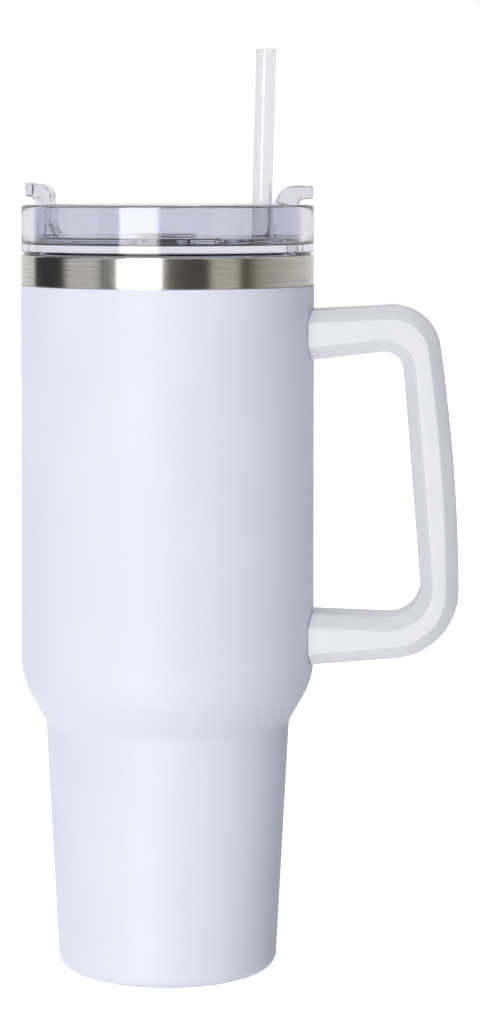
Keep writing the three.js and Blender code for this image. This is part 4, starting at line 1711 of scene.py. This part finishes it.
@dataclass
class Studio:
    """Pale floor, soft light all round and a camera a little above the lid's rim."""

    distance: float = 1000
    azimuth: float = 5
    camera_rise: float = 6.9
    focal: float = 101.8
    pitch: float = 1.0
    shift_x: float = 0.07
    shift_y: float = -0.2722
    key: Lobe = Lobe(-2.5, 2.5, "#ffffff")
    side: Lobe = Lobe(-119, 2.15, "#f6f7ff")
    back: Lobe = Lobe(178, 1.05, "#f6f7ff")
    shade: Lobe = Lobe(66, 0.2, "#98a8ff")
    lobe_power: float = 5
    fill_strength: float = 0.08
    fill_tint: str = "#f2f5ff"
    above_share: float = 0.78
    below_share: float = 0.87
    softbox: float = 9.0
    floor_glow: float = 0.55

    def camera(self) -> None:
        """Sets the camera at its distance from the body's axis, looking at the axis."""
        data = bpy.data.cameras.new("camera")
        data.sensor_width = 36
        data.lens = self.focal
        data.shift_x, data.shift_y = self.shift_x, self.shift_y
        data.clip_start, data.clip_end = 0.05, 20
        camera = bpy.data.objects.new("camera", data)
        turn = math.radians(self.azimuth)
        height = box_mm("lid_body")[1][2] + self.camera_rise
        away = self.distance * MM
        camera.location = (away * math.sin(turn), -away * math.cos(turn), height * MM)
        camera.rotation_euler = (math.radians(90 - self.pitch), 0, turn)
        bpy.context.scene.collection.objects.link(camera)
        bpy.context.scene.camera = camera

    def floor(self) -> None:
        """Lays a wide pale floor that glows faintly, as a lit white sweep does."""
        corners = np.array([[-1, -1], [1, -1], [1, 1], [-1, 1]], float) * 3000
        points = np.column_stack([corners, np.full(4, -0.2)])
        floor = to_object("floor", Surface(points, np.array([[0, 1, 2, 3]])))
        material, tree = blank_material("pale_floor")
        shader = add_node(tree, "ShaderNodeBsdfPrincipled", {
            "Base Color": linear("#f4f4f4"), "Roughness": 0.8,
            "Emission Color": linear("#ffffff"), "Emission Strength": self.floor_glow,
        })
        finish_surface(tree, shader)
        floor.data.materials.append(material)
        floor.visible_diffuse = False
        floor.visible_glossy = False
        floor.visible_transmission = False

    def world(self) -> None:
        """Surrounds the object with soft light, whose strength depends only on direction.

        Matt surfaces see an even light with broad lobes in front, at the left and behind, and a weak bluish
        one at the right. Shiny ones see upright panels: softboxes, gaps between them and a grey room.
        """
        world = bpy.data.worlds.new("studio")
        world.use_nodes = True
        tree = world.node_tree
        tree.nodes.clear()
        direction = add_node(tree, "ShaderNodeTexCoord").outputs["Generated"]
        parts = add_node(tree, "ShaderNodeSeparateXYZ", {0: direction})
        ahead = add_node(tree, "ShaderNodeMath", {0: parts.outputs["Y"], 1: -1.0}, operation="MULTIPLY")
        sides = {0: parts.outputs["X"], 1: ahead.outputs[0]}
        bearing = add_node(tree, "ShaderNodeMath", sides, operation="ARCTAN2")
        spot = {"Value": bearing.outputs[0], "From Min": -math.pi, "From Max": math.pi}
        share = add_node(tree, "ShaderNodeMapRange", spot).outputs["Result"]
        panels = self.panels(tree, share, parts.outputs["Z"])
        soft = self.soft_light(tree, bearing.outputs[0], parts.outputs["Z"])
        path = add_node(tree, "ShaderNodeLightPath").outputs
        shiny = self.either(tree, path["Is Glossy Ray"], soft, panels)
        through = self.either(tree, path["Is Transmission Ray"], shiny, (0.97, 0.97, 0.98, 1))
        seen = self.either(tree, path["Is Camera Ray"], through, (1, 1, 1, 1))
        background = add_node(tree, "ShaderNodeBackground", {"Color": seen, "Strength": 1.0})
        add_node(tree, "ShaderNodeOutputWorld", {"Surface": background.outputs[0]})
        world.cycles.sampling_method = "NONE"
        bpy.context.scene.world = world

    @staticmethod
    def either(tree: bpy.types.NodeTree, test: Any, no: Any, yes: Any) -> Any:
        """Chooses between two colours by a test that is 0 or 1.

        Args:
            tree: The world's node tree.
            test: The test's socket.
            no: Colour or socket for 0.
            yes: Colour or socket for 1.

        Returns:
            The chosen colour's socket.
        """
        mix = add_node(tree, "ShaderNodeMix", {"Factor": test}, data_type="RGBA")
        for name, value in (("A", no), ("B", yes)):
            if isinstance(value, bpy.types.NodeSocket):
                tree.links.new(value, mix.inputs[name])
            else:
                mix.inputs[name].default_value = value
        return mix.outputs["Result"]

    def panels(self, tree: bpy.types.NodeTree, share: Any, height: Any) -> Any:
        """Adds the upright panels that shiny surfaces mirror. They fade to a plain grey overhead and below.

        Args:
            tree: The world's node tree.
            share: Socket that runs from 0, behind and to the left, through 0.5, the front, to 1.
            height: Socket with the direction's upward part.

        Returns:
            The panels' colour socket.
        """
        # Each stop is a bearing in degrees and the brightness of its warm and cool parts.
        bright = self.softbox
        stops = [
            (-180, 0.85, 0.85), (-125, 0.9, 0.9), (-121, 0.05, 0.05), (-86, 0.06, 0.06), (-78, 0.78, 0.78),
            (-52, 0.74, 0.75), (-48, 0.24, 0.25), (-34, 0.24, 0.25), (-31, bright, bright),
            (-4, bright, bright), (0, 0.13, 0.11), (36, 0.09, 0.065), (41, 0.66, 0.53), (60, 0.66, 0.53),
            (66, 0.12, 0.09), (70, 0.12, 0.09), (82, 0.45, 0.37), (100, 0.62, 0.55), (125, 0.78, 0.75),
            (180, 0.85, 0.85),
        ]
        ramp = add_node(tree, "ShaderNodeValToRGB", {"Fac": share})
        elements = ramp.color_ramp.elements
        while len(elements) > 1:
            elements.remove(elements[-1])
        for number, (bearing, warm, cool) in enumerate(stops):
            place = (bearing + 180) / 360
            element = elements[0] if number == 0 else elements.new(place)
            element.position = place
            element.color = (warm, (3 * warm + cool) / 4, cool, 1)
        steep = add_node(tree, "ShaderNodeMath", {0: height}, operation="ABSOLUTE")
        limits = {"Value": steep.outputs[0], "From Min": 0.6, "From Max": 0.95}
        fade = add_node(tree, "ShaderNodeMapRange", limits)
        return self.either(tree, fade.outputs["Result"], ramp.outputs["Color"], (0.9, 0.9, 0.92, 1))

    def soft_light(self, tree: bpy.types.NodeTree, bearing: Any, height: Any) -> Any:
        """Adds the light that matt surfaces see: an even part plus four lobes.

        A lobe's strength follows a power of the cosine of the bearing from its middle, where that is
        positive. The whole falls off a little overhead and below.

        Args:
            tree: The world's node tree.
            bearing: Socket with the direction's bearing from the front, in radians.
            height: Socket with the direction's upward part.

        Returns:
            The light's colour socket.
        """
        fill = dict(enumerate(self.tint(self.fill_tint, self.fill_strength)))
        total = add_node(tree, "ShaderNodeCombineXYZ", fill).outputs[0]
        for lobe in (self.key, self.side, self.back, self.shade):
            middle = math.radians(lobe.bearing)
            offset = add_node(tree, "ShaderNodeMath", {0: bearing, 1: middle}, operation="SUBTRACT")
            swing = add_node(tree, "ShaderNodeMath", {0: offset.outputs[0]}, operation="COSINE")
            lit = add_node(tree, "ShaderNodeMath", {0: swing.outputs[0], 1: 0.0}, operation="MAXIMUM")
            power = {0: lit.outputs[0], 1: self.lobe_power}
            level = add_node(tree, "ShaderNodeMath", power, operation="POWER")
            inputs = {0: level.outputs[0], 1: self.tint(lobe.tint, lobe.strength), 2: total}
            total = add_node(tree, "ShaderNodeVectorMath", inputs, operation="MULTIPLY_ADD").outputs[0]
        limits = {"Value": height, "From Min": -1.0, "To Min": self.below_share, "To Max": self.above_share}
        fall = add_node(tree, "ShaderNodeMapRange", limits).outputs["Result"]
        return add_node(tree, "ShaderNodeVectorMath", {0: total, 1: fall}, operation="MULTIPLY").outputs[0]

    @staticmethod
    def tint(code: str, strength: float) -> tuple[float, float, float]:
        """Returns a hex colour's linear red, green and blue, times a strength."""
        red, green, blue, _ = linear(code)
        return red * strength, green * strength, blue * strength

    def build(self) -> None:
        """Builds the camera, the floor and the light."""
        bpy.context.scene.view_settings.view_transform = "Standard"
        self.camera()
        self.floor()
        self.world()


def main() -> None:
    """Builds the studio and every sub-assembly."""
    logging.basicConfig(level=logging.INFO, format="%(name)s: %(message)s")
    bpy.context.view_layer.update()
    Studio().build()
    finishes = Finishes()
    Vessel().build(finishes)
    Handle().build(finishes)
    Lid().build(finishes)
    Cover().build(finishes)
    Straw().build(finishes)


if __name__ == "__main__":
    main()
